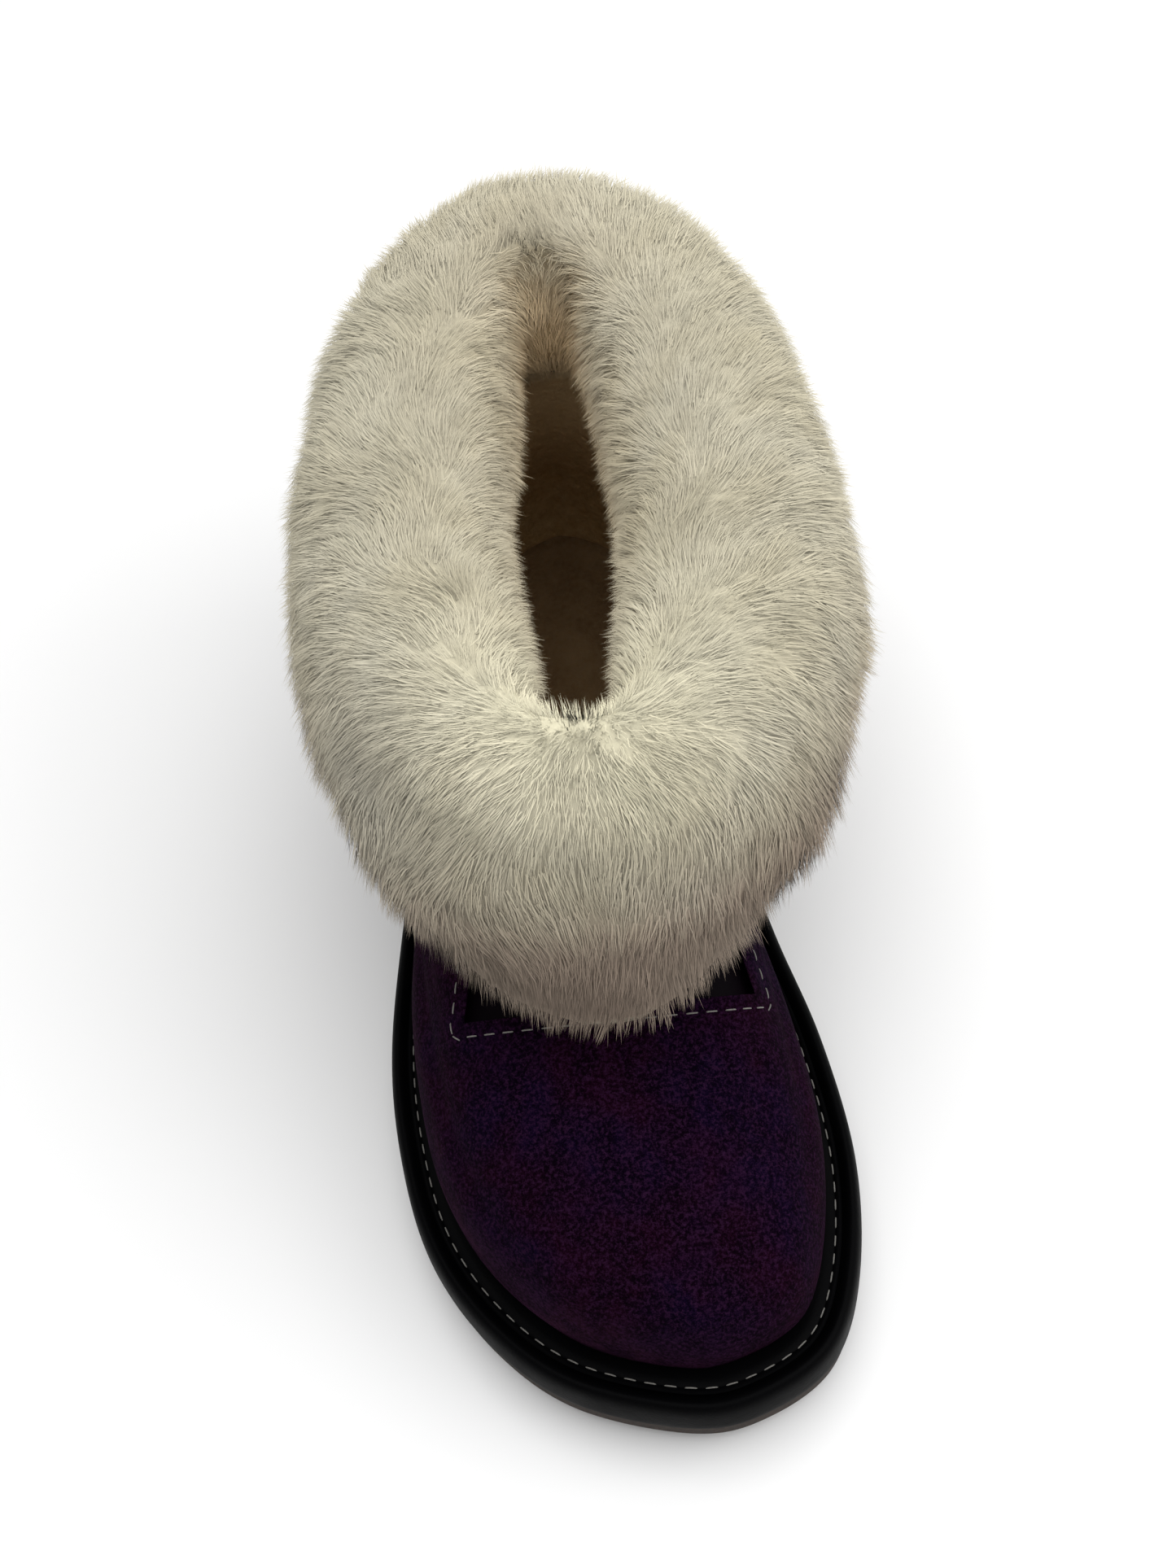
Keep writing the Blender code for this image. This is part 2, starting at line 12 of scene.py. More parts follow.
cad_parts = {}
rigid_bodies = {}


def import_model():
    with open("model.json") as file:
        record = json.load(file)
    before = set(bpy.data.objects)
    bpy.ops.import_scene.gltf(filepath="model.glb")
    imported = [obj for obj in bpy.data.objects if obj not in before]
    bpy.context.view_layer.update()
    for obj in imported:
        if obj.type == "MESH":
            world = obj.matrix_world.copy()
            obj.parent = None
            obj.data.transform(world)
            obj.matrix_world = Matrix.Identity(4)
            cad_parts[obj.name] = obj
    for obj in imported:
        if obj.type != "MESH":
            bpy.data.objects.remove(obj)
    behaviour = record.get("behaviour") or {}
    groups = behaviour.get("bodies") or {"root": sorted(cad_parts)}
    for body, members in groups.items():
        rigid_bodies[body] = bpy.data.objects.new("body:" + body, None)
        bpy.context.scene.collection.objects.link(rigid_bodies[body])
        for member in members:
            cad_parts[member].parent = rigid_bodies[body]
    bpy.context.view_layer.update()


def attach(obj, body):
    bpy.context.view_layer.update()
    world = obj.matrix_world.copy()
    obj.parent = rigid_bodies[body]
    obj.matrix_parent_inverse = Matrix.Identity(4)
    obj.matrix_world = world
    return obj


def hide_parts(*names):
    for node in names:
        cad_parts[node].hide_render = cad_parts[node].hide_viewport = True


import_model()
MM = 0.001

# Outsole
# A thin brown sheet of crepe-like rubber, die-cut to the foot's outline and glued under the platform.
# Only its edge shows, as a thin dark line at the floor.
def shader_node(tree, kind, **inputs):
    """A new node with its inputs set by name; an input given as a socket is linked."""
    made = tree.nodes.new(kind)
    for name, value in inputs.items():
        socket = made.inputs[name.replace("_", " ")]
        if isinstance(value, bpy.types.NodeSocket):
            tree.links.new(value, socket)
        else:
            socket.default_value = value
    return made


def plain_material(name, colour, roughness):
    """A Principled material; gives the material, its tree and its shader."""
    made = bpy.data.materials.new(name)
    made.use_nodes = True
    shader = made.node_tree.nodes["Principled BSDF"]
    shader.inputs["Base Color"].default_value = (*colour, 1.0)
    shader.inputs["Roughness"].default_value = roughness
    return made, made.node_tree, shader


def mottle_group():
    """Shader group: noise on the object's own coordinates, its scale in blobs to a metre."""
    tree = bpy.data.node_groups.new("mottle", "ShaderNodeTree")
    for label in ("Scale", "Detail", "Roughness"):
        tree.interface.new_socket(label, in_out="INPUT", socket_type="NodeSocketFloat")
    tree.interface.new_socket("Stretch", in_out="INPUT", socket_type="NodeSocketVector")
    tree.interface.new_socket("Share", in_out="OUTPUT", socket_type="NodeSocketFloat")
    asked = tree.nodes.new("NodeGroupInput").outputs
    place = shader_node(tree, "ShaderNodeTexCoord").outputs["Object"]
    mapping = shader_node(tree, "ShaderNodeMapping", Vector=place, Scale=asked["Stretch"])
    noise = shader_node(tree, "ShaderNodeTexNoise", Vector=mapping.outputs["Vector"])
    for label in ("Scale", "Detail", "Roughness"):
        tree.links.new(asked[label], noise.inputs[label])
    tree.links.new(noise.outputs["Fac"], tree.nodes.new("NodeGroupOutput").inputs["Share"])
    return tree


MOTTLE = mottle_group()


def object_noise(tree, scale, detail=3.0, roughness=0.5, stretch=(1, 1, 1)):
    """The mottle group in a material."""
    made = tree.nodes.new("ShaderNodeGroup")
    made.node_tree = MOTTLE
    values = {"Scale": scale, "Detail": detail, "Roughness": roughness, "Stretch": stretch}
    for label, value in values.items():
        made.inputs[label].default_value = value
    return made.outputs["Share"]


def ramp(tree, value, low, high, start=0.0, end=1.0):
    """The value stretched from low..high to start..end, and held there beyond."""
    made = shader_node(tree, "ShaderNodeMapRange", Value=value)
    for name, number in (("From Min", low), ("From Max", high), ("To Min", start), ("To Max", end)):
        made.inputs[name].default_value = number
    return made.outputs["Result"]


def blend_colour(tree, share, first, second):
    """Mix of two colours by a share; each colour is three numbers or a socket."""
    made = tree.nodes.new("ShaderNodeMix")
    made.data_type = "RGBA"
    tree.links.new(share, made.inputs["Factor"])
    for socket, colour in ((made.inputs[6], first), (made.inputs[7], second)):
        if isinstance(colour, bpy.types.NodeSocket):
            tree.links.new(colour, socket)
        else:
            socket.default_value = (*colour, 1.0)
    return made.outputs[2]


def add_bump(tree, shader, height, strength, distance):
    """One more layer of bump on the shader's normal."""
    made = shader_node(tree, "ShaderNodeBump", Height=height, Strength=strength, Distance=distance)
    under = shader.inputs["Normal"].links
    if under:
        tree.links.new(under[0].from_socket, made.inputs["Normal"])
    tree.links.new(made.outputs["Normal"], shader.inputs["Normal"])


SOLE_LENGTH = 265 * MM
BALL_WIDTH = 104 * MM
HEEL_WIDTH = 76 * MM
HEEL_REACH = 38 * MM
TOE_SPRING = 5 * MM
TOE_SPRING_RUN = 58 * MM
TOE_Y = HEEL_REACH - SOLE_LENGTH
OUTLINE = (
    # along, side, width
    (0.000, 0.25, BALL_WIDTH),
    (0.030, -0.22, BALL_WIDTH),
    (0.085, -0.55, BALL_WIDTH),
    (0.160, -0.79, BALL_WIDTH),
    (0.250, -0.91, BALL_WIDTH),
    (0.360, -0.95, BALL_WIDTH),
    (0.510, -0.88, BALL_WIDTH),
    (0.680, -1.06, HEEL_WIDTH),
    (0.850, -0.99, HEEL_WIDTH),
    (0.950, -0.68, HEEL_WIDTH),
    (1.000, 0.00, HEEL_WIDTH),
    (0.950, 0.68, HEEL_WIDTH),
    (0.850, 0.96, HEEL_WIDTH),
    (0.700, 0.93, HEEL_WIDTH),
    (0.570, 0.99, HEEL_WIDTH),
    (0.440, 0.85, BALL_WIDTH),
    (0.330, 0.985, BALL_WIDTH),
    (0.215, 1.055, BALL_WIDTH),
    (0.115, 1.00, BALL_WIDTH),
    (0.045, 0.85, BALL_WIDTH),
    (0.008, 0.56, BALL_WIDTH),
)


def smooth_step(value, low, high):
    share = np.clip((value - low) / (high - low), 0.0, 1.0)
    return share * share * (3 - 2 * share)


def through(points, per_span, closed):
    """Points of a Catmull-Rom curve through the given ones, per_span to each stretch."""
    points = np.asarray(points, float)
    if closed:
        ends = np.vstack([points[-1:], points, points[:2]])
    else:
        ends = np.vstack([2 * points[0] - points[1], points, 2 * points[-1] - points[-2]])
    found = []
    for a, b, c, d in zip(ends, ends[1:], ends[2:], ends[3:]):
        for t in np.arange(per_span) / per_span:
            bend = 2 * a - 5 * b + 4 * c - d
            found.append(0.5 * (2 * b + (c - a) * t + bend * t**2 + (3 * b - a - 3 * c + d) * t**3))
    if not closed:
        found.append(points[-1])
    return np.array(found)


SOLE_CURVE = through(
    [(side * width / 2, TOE_Y + along * SOLE_LENGTH) for along, side, width in OUTLINE], 60, True
)


def sole_sides(inset, stations):
    """Outer and inner side of the sole's outline, moved in by inset, at the same stations."""
    ahead = np.roll(SOLE_CURVE, -1, axis=0) - np.roll(SOLE_CURVE, 1, axis=0)
    inward = np.stack([-ahead[:, 1], ahead[:, 0]], axis=1)
    inward /= np.linalg.norm(inward, axis=1)[:, None]
    curve = SOLE_CURVE - inward * inset
    if np.ptp(curve[:, 1]) > np.ptp(SOLE_CURVE[:, 1]):
        curve = SOLE_CURVE + inward * inset
    curve = np.roll(curve, -curve[:, 1].argmin(), axis=0)
    heel = curve[:, 1].argmax()
    outer, inner = curve[: heel + 1], np.vstack([curve[heel:], curve[:1]])[::-1]
    share = (1 - np.cos(math.pi * np.arange(stations + 1) / stations)) / 2
    y = outer[0, 1] + share * (outer[-1, 1] - outer[0, 1])
    return y, np.interp(y, outer[:, 1], outer[:, 0]), np.interp(y, inner[:, 1], inner[:, 0])


def toe_lift(y):
    return TOE_SPRING * np.clip((TOE_Y + TOE_SPRING_RUN - y) / TOE_SPRING_RUN, 0.0, 1.0) ** 2


def sole_ring(inset, height, stations):
    """Closed ring of points round the sole, down its outer side and back by its inner side."""
    y, outer, inner = sole_sides(inset, stations)
    x = np.concatenate([outer, inner[-2:0:-1]])
    y = np.concatenate([y, y[-2:0:-1]])
    return np.stack([x, y, height + toe_lift(y)], axis=1)


def belt(rings, closed):
    """Quads between rings of points that follow each other."""
    count, points = len(rings), len(rings[0])
    faces = []
    for ring in range(count if closed else count - 1):
        low, high = ring * points, (ring + 1) % count * points
        for i in range(points):
            j = (i + 1) % points
            faces.append((low + i, low + j, high + j, high + i))
    return faces


def ladder(start, points):
    """Quads that close a ring, each joining its outer and its inner side."""
    half = points // 2
    faces = [(start, start + 1, start + points - 1)]
    for i in range(1, half - 1):
        faces.append((start + i, start + i + 1, start + points - i - 1, start + points - i))
    faces.append((start + half - 1, start + half, start + half + 1))
    return faces


def closed_stack(rings):
    """Faces of a solid whose rings run from its underside round its side to its top."""
    points = len(rings[0])
    return belt(rings, False) + ladder(0, points) + ladder((len(rings) - 1) * points, points)


def make_piece(name, material, vertices, faces, sharp=40):
    """A mesh object with its faces turned outwards."""
    mesh = bpy.data.meshes.new(name)
    mesh.from_pydata([tuple(v) for v in vertices], [], faces)
    shape = bmesh.new()
    shape.from_mesh(mesh)
    bmesh.ops.recalc_face_normals(shape, faces=shape.faces)
    shape.to_mesh(mesh)
    shape.free()
    mesh.shade_smooth()
    mesh.set_sharp_from_angle(angle=math.radians(sharp))
    made = bpy.data.objects.new(name, mesh)
    mesh.materials.append(material)
    bpy.context.scene.collection.objects.link(made)
    return made


def wear_as(piece, node):
    """The piece rides with the shoe and stands for a CAD node, which it hides."""
    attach(piece, "root")
    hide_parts(node)


FINE_STATIONS = 150
OUTSOLE_TOP = 4.3 * MM
OUTSOLE_SIDE = (
    # inset, height
    (1.5 * MM, 0.0),
    (0.9 * MM, 0.6 * MM),
    (0.9 * MM, 3.9 * MM),
    (1.3 * MM, 4.0 * MM),
)
rubber, tree, shader = plain_material("brown_rubber", (0.024, 0.014, 0.009), 0.8)
crumb = object_noise(tree, 900.0, 4.0, 0.7)
tree.links.new(
    blend_colour(tree, ramp(tree, crumb, 0.35, 0.65), (0.014, 0.008, 0.005), (0.034, 0.020, 0.013)),
    shader.inputs["Base Color"],
)
add_bump(tree, shader, crumb, 0.35, 0.4 * MM)
rings = [sole_ring(inset, height, FINE_STATIONS) for inset, height in OUTSOLE_SIDE]
outsole = make_piece("outsole_sheet", rubber, np.vstack(rings), closed_stack(rings), 30)
wear_as(outsole, "outsole")

# Platform
# A light foam platform about a centimetre thick. Black smooth leather is wrapped round its side and
# turned over the top edge on a cord, which leaves a rolled rim all the way round.
MIDSOLE_THICK = 9.5 * MM
BEAD_RISE = 1.7 * MM
BEAD_WIDTH = 4.2 * MM
PLATFORM_SIDE = (
    # inset, up, bead
    (0.62, 0.00, 0.00),
    (0.22, 0.02, 0.00),
    (0.06, 0.14, 0.00),
    (0.00, 0.40, 0.00),
    (0.01, 0.66, 0.00),
    (0.05, 0.86, 0.10),
    (0.14, 0.97, 0.36),
    (0.30, 1.00, 0.78),
    (0.50, 1.00, 1.00),
    (0.70, 1.00, 0.82),
    (0.86, 1.00, 0.38),
    (0.97, 1.00, 0.02),
    (1.06, 0.97, -0.05),
)
rings = []
for inset, up, bead in through(PLATFORM_SIDE, 3, closed=False):
    height = OUTSOLE_TOP + up * MIDSOLE_THICK + bead * BEAD_RISE
    ring = sole_ring(inset * BEAD_WIDTH, height, FINE_STATIONS)
    pull = np.sin(ring[:, 1] / (6.1 * MM)) * np.sin(ring[:, 0] / (7.3 * MM) + 1.0)
    ring[:, 2] += 0.10 * MM * pull * max(bead, 0.0)
    rings.append(ring)


def leather_material(name, dark, light, roughness, grain):
    """Finished leather: close pebble grain, faint creasing and an uneven soft shine."""
    made, tree, shader = plain_material(name, dark, roughness)
    shader.inputs["Specular IOR Level"].default_value = 0.03
    place = shader_node(tree, "ShaderNodeTexCoord").outputs["Object"]
    cells = shader_node(tree, "ShaderNodeTexVoronoi", Vector=place, Scale=grain)
    cloud = object_noise(tree, 60.0, 4.0, 0.6)
    tree.links.new(blend_colour(tree, cloud, dark, light), shader.inputs["Base Color"])
    tree.links.new(
        ramp(tree, cloud, 0.3, 0.7, roughness - 0.06, roughness + 0.08), shader.inputs["Roughness"]
    )
    add_bump(tree, shader, cells.outputs["Distance"], 0.22, 0.12 * MM)
    add_bump(tree, shader, object_noise(tree, 260.0, 5.0, 0.6), 0.25, 0.25 * MM)
    return made


black_leather = leather_material(
    "black_leather", (0.0006, 0.0006, 0.0008), (0.0016, 0.0016, 0.0020), 0.50, 1500.0
)
platform = make_piece("platform_wrap", black_leather, np.vstack(rings), closed_stack(rings))
wear_as(platform, "midsole")

# Welt strip
# A flat strip of the same black leather lies inside the rolled rim and runs in under the suede.
# Its outer edge is cut clean, and it carries the long row of light grey stitches.
WELT_LOW = 14.1 * MM
WELT_THICK = 1.2 * MM
FEATHER_INSET = 9.6 * MM
UPPER_WALL = 2.0 * MM
STITCH_INSET = 5.75 * MM
WELT_SECTION = (
    # inset, up
    (4.40 * MM, 0.00),
    (4.40 * MM, 0.70),
    (4.75 * MM, 1.00),
    (5.30 * MM, 1.00),
    (5.75 * MM, 0.72),
    (6.20 * MM, 1.00),
    (8.00 * MM, 1.06),
    (10.0 * MM, 1.00),
    (11.6 * MM, 1.00),
    (11.6 * MM, 0.00),
)
rings = [sole_ring(inset, WELT_LOW + up * WELT_THICK, FINE_STATIONS) for inset, up in WELT_SECTION]
welt = make_piece("welt_strip", black_leather, np.vstack(rings), belt(rings, True))
wear_as(welt, "welt")

# Stitches of the welt
# Waxed light grey thread, one long row of even dashes a little under 3 mm long with short gaps,
# pulled down into the leather at both ends of each dash.
THREAD_RADIUS = 0.18 * MM
STITCH_LENGTH = 2.6 * MM
STITCH_PITCH = 4.3 * MM


def thread_dash(name, material):
    """One stitch along X: a round thread that bows up in the middle and dips at its ends."""
    bow = (
        # along, up, size
        (-0.50, -0.80, 0.35),
        (-0.42, 0.00, 0.90),
        (-0.15, 0.42, 1.00),
        (0.15, 0.42, 1.00),
        (0.42, 0.00, 0.90),
        (0.50, -0.80, 0.35),
    )
    around = 6
    vertices = []
    for along, up, size in bow:
        for k in range(around):
            angle = 2 * math.pi * k / around
            y = math.cos(angle) * THREAD_RADIUS * size
            z = (up + math.sin(angle) * 0.9 * size) * THREAD_RADIUS
            vertices.append((along * STITCH_LENGTH, y, z))
    faces = [tuple(range(around)), tuple(range(len(vertices) - around, len(vertices)))]
    for ring in range(len(bow) - 1):
        for k in range(around):
            low, high = ring * around, (ring + 1) * around
            faces.append((low + k, low + (k + 1) % around, high + (k + 1) % around, high + k))
    made = make_piece(name, material, vertices, faces, 180)
    made.hide_render = True
    return made


def node_in(tree, kind, links=(), **settings):
    """A new node with its settings, and links given as (from node, output, input)."""
    made = tree.nodes.new(kind)
    for name, value in settings.items():
        setattr(made, name, value)
    for source, out, into in links:
        tree.links.new(source.outputs[out], made.inputs[into])
    return made


def named(tree, name, kind="FLOAT"):
    """An attribute of the geometry, read by its name."""
    made = node_in(tree, "GeometryNodeInputNamedAttribute", data_type=kind)
    made.inputs["Name"].default_value = name
    return made


def geometry_tree(name, inputs):
    """An empty Geometry Nodes tree with named inputs; gives the tree and its two ends."""
    tree = bpy.data.node_groups.new(name, "GeometryNodeTree")
    tree.interface.new_socket("Geometry", in_out="INPUT", socket_type="NodeSocketGeometry")
    for label, kind in inputs:
        tree.interface.new_socket(label, in_out="INPUT", socket_type=kind)
    tree.interface.new_socket("Geometry", in_out="OUTPUT", socket_type="NodeSocketGeometry")
    return tree, tree.nodes.new("NodeGroupInput"), tree.nodes.new("NodeGroupOutput")


def align(tree, rotation, axis, pivot, attribute):
    """Turns a rotation so that one axis follows a named vector attribute."""
    links = [(named(tree, attribute, "FLOAT_VECTOR"), "Attribute", "Vector")]
    if rotation is not None:
        links.append((rotation, "Rotation", "Rotation"))
    return node_in(tree, "FunctionNodeAlignRotationToVector", links, axis=axis, pivot_axis=pivot)


def stitch_tree():
    """Lays one dash after another along an edge path; each point's up attribute is the way out."""
    inputs = (("Pitch", "NodeSocketFloat"), ("Dash", "NodeSocketObject"), ("Thread", "NodeSocketMaterial"))
    tree, start, end = geometry_tree("stitch_row", inputs)
    curve = node_in(tree, "GeometryNodeMeshToCurve", [(start, "Geometry", "Mesh")])
    links = [(curve, "Curve", "Curve"), (start, "Pitch", "Length")]
    even = node_in(tree, "GeometryNodeResampleCurve", links, mode="LENGTH")
    tangent = node_in(tree, "GeometryNodeInputTangent")
    links = [(even, "Curve", "Geometry"), (tangent, "Tangent", "Value")]
    keep = node_in(tree, "GeometryNodeStoreNamedAttribute", links, data_type="FLOAT_VECTOR")
    keep.inputs["Name"].default_value = "ahead"
    dash = node_in(tree, "GeometryNodeObjectInfo", [(start, "Dash", "Object")])
    way = align(tree, align(tree, None, "X", "AUTO", "ahead"), "Z", "X", "up")
    links = [(keep, "Geometry", "Points"), (dash, "Geometry", "Instance"), (way, "Rotation", "Rotation")]
    sew = node_in(tree, "GeometryNodeInstanceOnPoints", links)
    solid = node_in(tree, "GeometryNodeRealizeInstances", [(sew, "Instances", "Geometry")])
    links = [(solid, "Geometry", "Geometry"), (start, "Thread", "Material")]
    dye = node_in(tree, "GeometryNodeSetMaterial", links)
    tree.links.new(dye.outputs["Geometry"], end.inputs["Geometry"])
    return tree


def keep_modified(piece):
    """Turns a piece with modifiers into the plain mesh that they make."""
    bpy.context.view_layer.update()
    mesh = bpy.data.meshes.new_from_object(piece.evaluated_get(bpy.context.evaluated_depsgraph_get()))
    piece.modifiers.clear()
    mesh.name = piece.name
    piece.data = mesh


def run_tree(base, tree, values):
    """Runs a Geometry Nodes tree on an object and keeps the result as the object's own mesh."""
    modifier = base.modifiers.new(tree.name, "NODES")
    modifier.node_group = tree
    for item in tree.interface.items_tree:
        if item.in_out == "INPUT" and item.name in values:
            modifier[item.identifier] = values[item.name]
    keep_modified(base)


def sew_row(name, path, ups, closed):
    """A row of stitches along a path of points."""
    edges = [(i, i + 1) for i in range(len(path) - 1)]
    if closed:
        edges.append((len(path) - 1, 0))
    mesh = bpy.data.meshes.new(name)
    mesh.from_pydata([tuple(p) for p in path], edges, [])
    mesh.attributes.new("up", "FLOAT_VECTOR", "POINT").data.foreach_set("vector", np.ravel(ups))
    row = bpy.data.objects.new(name, mesh)
    bpy.context.scene.collection.objects.link(row)
    run_tree(row, STITCH_TREE, {"Pitch": STITCH_PITCH, "Dash": DASH, "Thread": grey_thread})
    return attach(row, "root")


grey_thread, tree, shader = plain_material("grey_thread", (0.15, 0.14, 0.13), 0.70)
twist = object_noise(tree, 2600.0, 2.0, 0.5)
tree.links.new(
    blend_colour(tree, twist, (0.070, 0.066, 0.060), (0.26, 0.25, 0.23)), shader.inputs["Base Color"]
)
add_bump(tree, shader, twist, 0.5, 0.1 * MM)
STITCH_TREE = stitch_tree()
DASH = thread_dash("dash_shape", grey_thread)
path = sole_ring(STITCH_INSET, WELT_LOW + 0.82 * WELT_THICK, FINE_STATIONS)
welt_stitches = sew_row("welt_stitches", path, np.tile((0.0, 0.0, 1.0), (len(path), 1)), True)

# Upper
# Purple suede vamp and shaft, lasted as one bag about 2 mm thick, its raw lower edge on the welt strip.
# A squared throat is cut into its front. The nap is brushed every way, so the purple is mottled, and
# it has gone pinker low down, most of all on its outer side.
VAMP_HEIGHT = 46 * MM
SHAFT_HEIGHT = 97 * MM
COLLAR_WIDTH = 78 * MM
COLLAR_MIDDLE = 5 * MM
FEATHER_HEIGHT = 15.6 * MM
THROAT_FROM_TOE = 72.5 * MM
THROAT_WIDTH = 62 * MM
THROAT_MIDDLE = 4.5 * MM
THROAT_DEPTH = 56 * MM
THROAT_NARROWS = 11 * MM
THROAT_LEAN = math.tan(math.radians(28))
RINGS = (
    # front, front_up, back, back_up, fore, rear, oval
    (0.036, 0.00, 0.964, 0.00, 1.00, 1.00, 0.00),
    (0.030, 0.15, 0.970, 0.09, 1.035, 1.03, 0.00),
    (0.032, 0.33, 0.969, 0.20, 1.035, 1.03, 0.02),
    (0.048, 0.51, 0.962, 0.31, 0.99, 1.02, 0.08),
    (0.088, 0.67, 0.950, 0.42, 0.90, 1.01, 0.18),
    (0.146, 0.80, 0.938, 0.53, 0.82, 1.01, 0.32),
    (0.210, 0.91, 0.929, 0.64, 0.76, 1.02, 0.48),
    (0.272, 1.03, 0.922, 0.74, 0.72, 1.04, 0.64),
    (0.326, 1.18, 0.917, 0.83, 0.70, 1.06, 0.80),
    (0.362, 1.37, 0.915, 0.90, 0.70, 1.08, 0.92),
    (0.376, 1.57, 0.915, 0.95, 0.70, 1.08, 1.00),
    (0.382, 1.75, 0.916, 1.00, 0.70, 1.08, 1.00),
)
FINE = 720
FINE_Y, FINE_OUTER, FINE_INNER = sole_sides(FEATHER_INSET, FINE)
FINE_RINGS = through(RINGS, 40, closed=False)
SOLE_Y, SOLE_OUTER, SOLE_INNER = sole_sides(0.0, FINE)
SOLE_MIDDLE = (SOLE_OUTER + SOLE_INNER) / 2


def last_surface(turn, level):
    """Outside of the upper. turn runs 0 to 1 from toe to heel by the outer side and 1 to 2 back; level runs
    0 at the lower edge to 1 at the top line."""
    turn, level = np.broadcast_arrays(np.asarray(turn, float) % 2.0, np.asarray(level, float))
    rows = np.linspace(0.0, 1.0, len(FINE_RINGS))
    front, front_up, back, back_up, fore, rear, oval = (
        np.interp(level, rows, FINE_RINGS[:, column]) for column in range(FINE_RINGS.shape[1])
    )
    down = np.where(turn <= 1.0, turn, 2.0 - turn)
    share = (1 - np.cos(math.pi * down)) / 2
    places = np.arange(FINE + 1) / FINE
    side = np.where(turn <= 1.0, np.interp(down, places, FINE_OUTER), np.interp(down, places, FINE_INNER))
    base_y = FINE_Y[0] + share * (FINE_Y[-1] - FINE_Y[0])
    y = TOE_Y + (front + share * (back - front)) * SOLE_LENGTH
    width = fore + (rear - fore) * smooth_step(share, 0.15, 0.75)
    middle = np.interp(y, SOLE_Y, SOLE_MIDDLE)
    foot = middle + (side - np.interp(base_y, SOLE_Y, SOLE_MIDDLE)) * width
    away = np.where(turn <= 1.0, -1.0, 1.0) * np.sin(math.pi * down) ** 0.82
    x = foot + (COLLAR_MIDDLE + away * COLLAR_WIDTH / 2 - foot) * oval
    front_z = front_up * VAMP_HEIGHT
    z = FEATHER_HEIGHT + front_z + share * (back_up * SHAFT_HEIGHT - front_z) + toe_lift(y)
    return np.stack([x, y, z], axis=-1)


def last_normal(turn, level):
    """Unit normal of the upper's outside."""
    step = 0.004
    along = last_surface(turn + step, level) - last_surface(turn - step, level)
    rise = last_surface(turn, np.clip(level + step, 0, 1)) - last_surface(turn, np.clip(level - step, 0, 1))
    normal = np.cross(rise, along)
    return normal / np.linalg.norm(normal, axis=-1, keepdims=True)


CREASES = (
    # turn, level, long, wide, lean, depth
    (0.38, 0.34, 0.20, 0.035, 0.30, 0.9 * MM),
    (0.46, 0.46, 0.16, 0.030, 0.45, 0.7 * MM),
    (1.62, 0.32, 0.18, 0.035, -0.35, 0.9 * MM),
    (1.55, 0.46, 0.15, 0.030, -0.50, 0.7 * MM),
    (0.24, 0.30, 0.12, 0.040, 0.60, 0.6 * MM),
    (1.80, 0.42, 0.10, 0.045, 0.20, 0.5 * MM),
    (0.10, 0.38, 0.09, 0.050, -0.30, 0.5 * MM),
    (0.93, 0.30, 0.10, 0.040, 0.00, 0.6 * MM),
)


def suede_relief(turn, level):
    """Soft troughs of the suede where the foot flexes it, and the small tuck in its edge by the big toe."""
    depth = np.zeros(np.broadcast(turn, level).shape)
    for at_turn, at_level, long, wide, lean, deep in CREASES:
        a, b = turn - at_turn, level - at_level
        along, across = a + b * lean, b - a * lean
        depth += deep * np.exp(-((along / long) ** 2) - (across / wide) ** 2)
    tuck = np.exp(-(((turn - 1.835) / 0.012) ** 2) - (level / 0.05) ** 2)
    swell = np.sin(turn * 31.0 + level * 9.0) * np.sin(level * 23.0 + turn * 7.0)
    return 0.22 * MM * swell - depth - 1.6 * MM * tuck


def upper_sheet(name, material, inward, stations, levels, relief):
    """Open sheet that follows the upper's outside, moved in by inward."""
    turns = np.arange(2 * stations) / stations
    rings = []
    for level in np.linspace(0.0, 1.0, levels):
        out = relief(turns, level) if relief else np.zeros(len(turns))
        rings.append(last_surface(turns, level) + last_normal(turns, level) * (out - inward)[:, None])
    return make_piece(name, material, np.vstack(rings), belt(rings, False))


def give_wall(piece, thickness):
    wall = piece.modifiers.new("wall", "SOLIDIFY")
    wall.thickness = thickness
    wall.offset = -1
    wall.use_even_offset = True
    keep_modified(piece)


def cut_by(piece, cutter, operation):
    change = piece.modifiers.new("throat", "BOOLEAN")
    change.operation = operation
    change.object = cutter
    change.solver = "EXACT"
    keep_modified(piece)
    bpy.data.objects.remove(cutter)


def throat_corners(margin):
    """Plan of the throat grown by margin: front outer, front inner, back inner and back outer corner."""
    front, back = TOE_Y + THROAT_FROM_TOE - margin, TOE_Y + THROAT_FROM_TOE + THROAT_DEPTH
    near, far = THROAT_WIDTH / 2 + margin, THROAT_WIDTH / 2 + margin - THROAT_NARROWS
    return [(-near, front), (near, front), (far, back), (-far, back)]


def throat_point(x, y, z):
    """A place in the throat's plan at a height, square to the slope of the vamp."""
    ridge = FEATHER_HEIGHT + VAMP_HEIGHT
    return Vector((THROAT_MIDDLE + x, y - (z - ridge) * THROAT_LEAN, z))


def throat_block(margin):
    ridge = FEATHER_HEIGHT + VAMP_HEIGHT
    vertices = [
        throat_point(x, y, z)
        for z in (ridge - 0.7 * VAMP_HEIGHT, ridge + 2 * VAMP_HEIGHT)
        for x, y in throat_corners(margin)
    ]
    faces = [(3, 2, 1, 0), (4, 5, 6, 7), (0, 1, 5, 4), (1, 2, 6, 5), (2, 3, 7, 6), (3, 0, 4, 7)]
    return make_piece("throat_block", suede, vertices, faces)


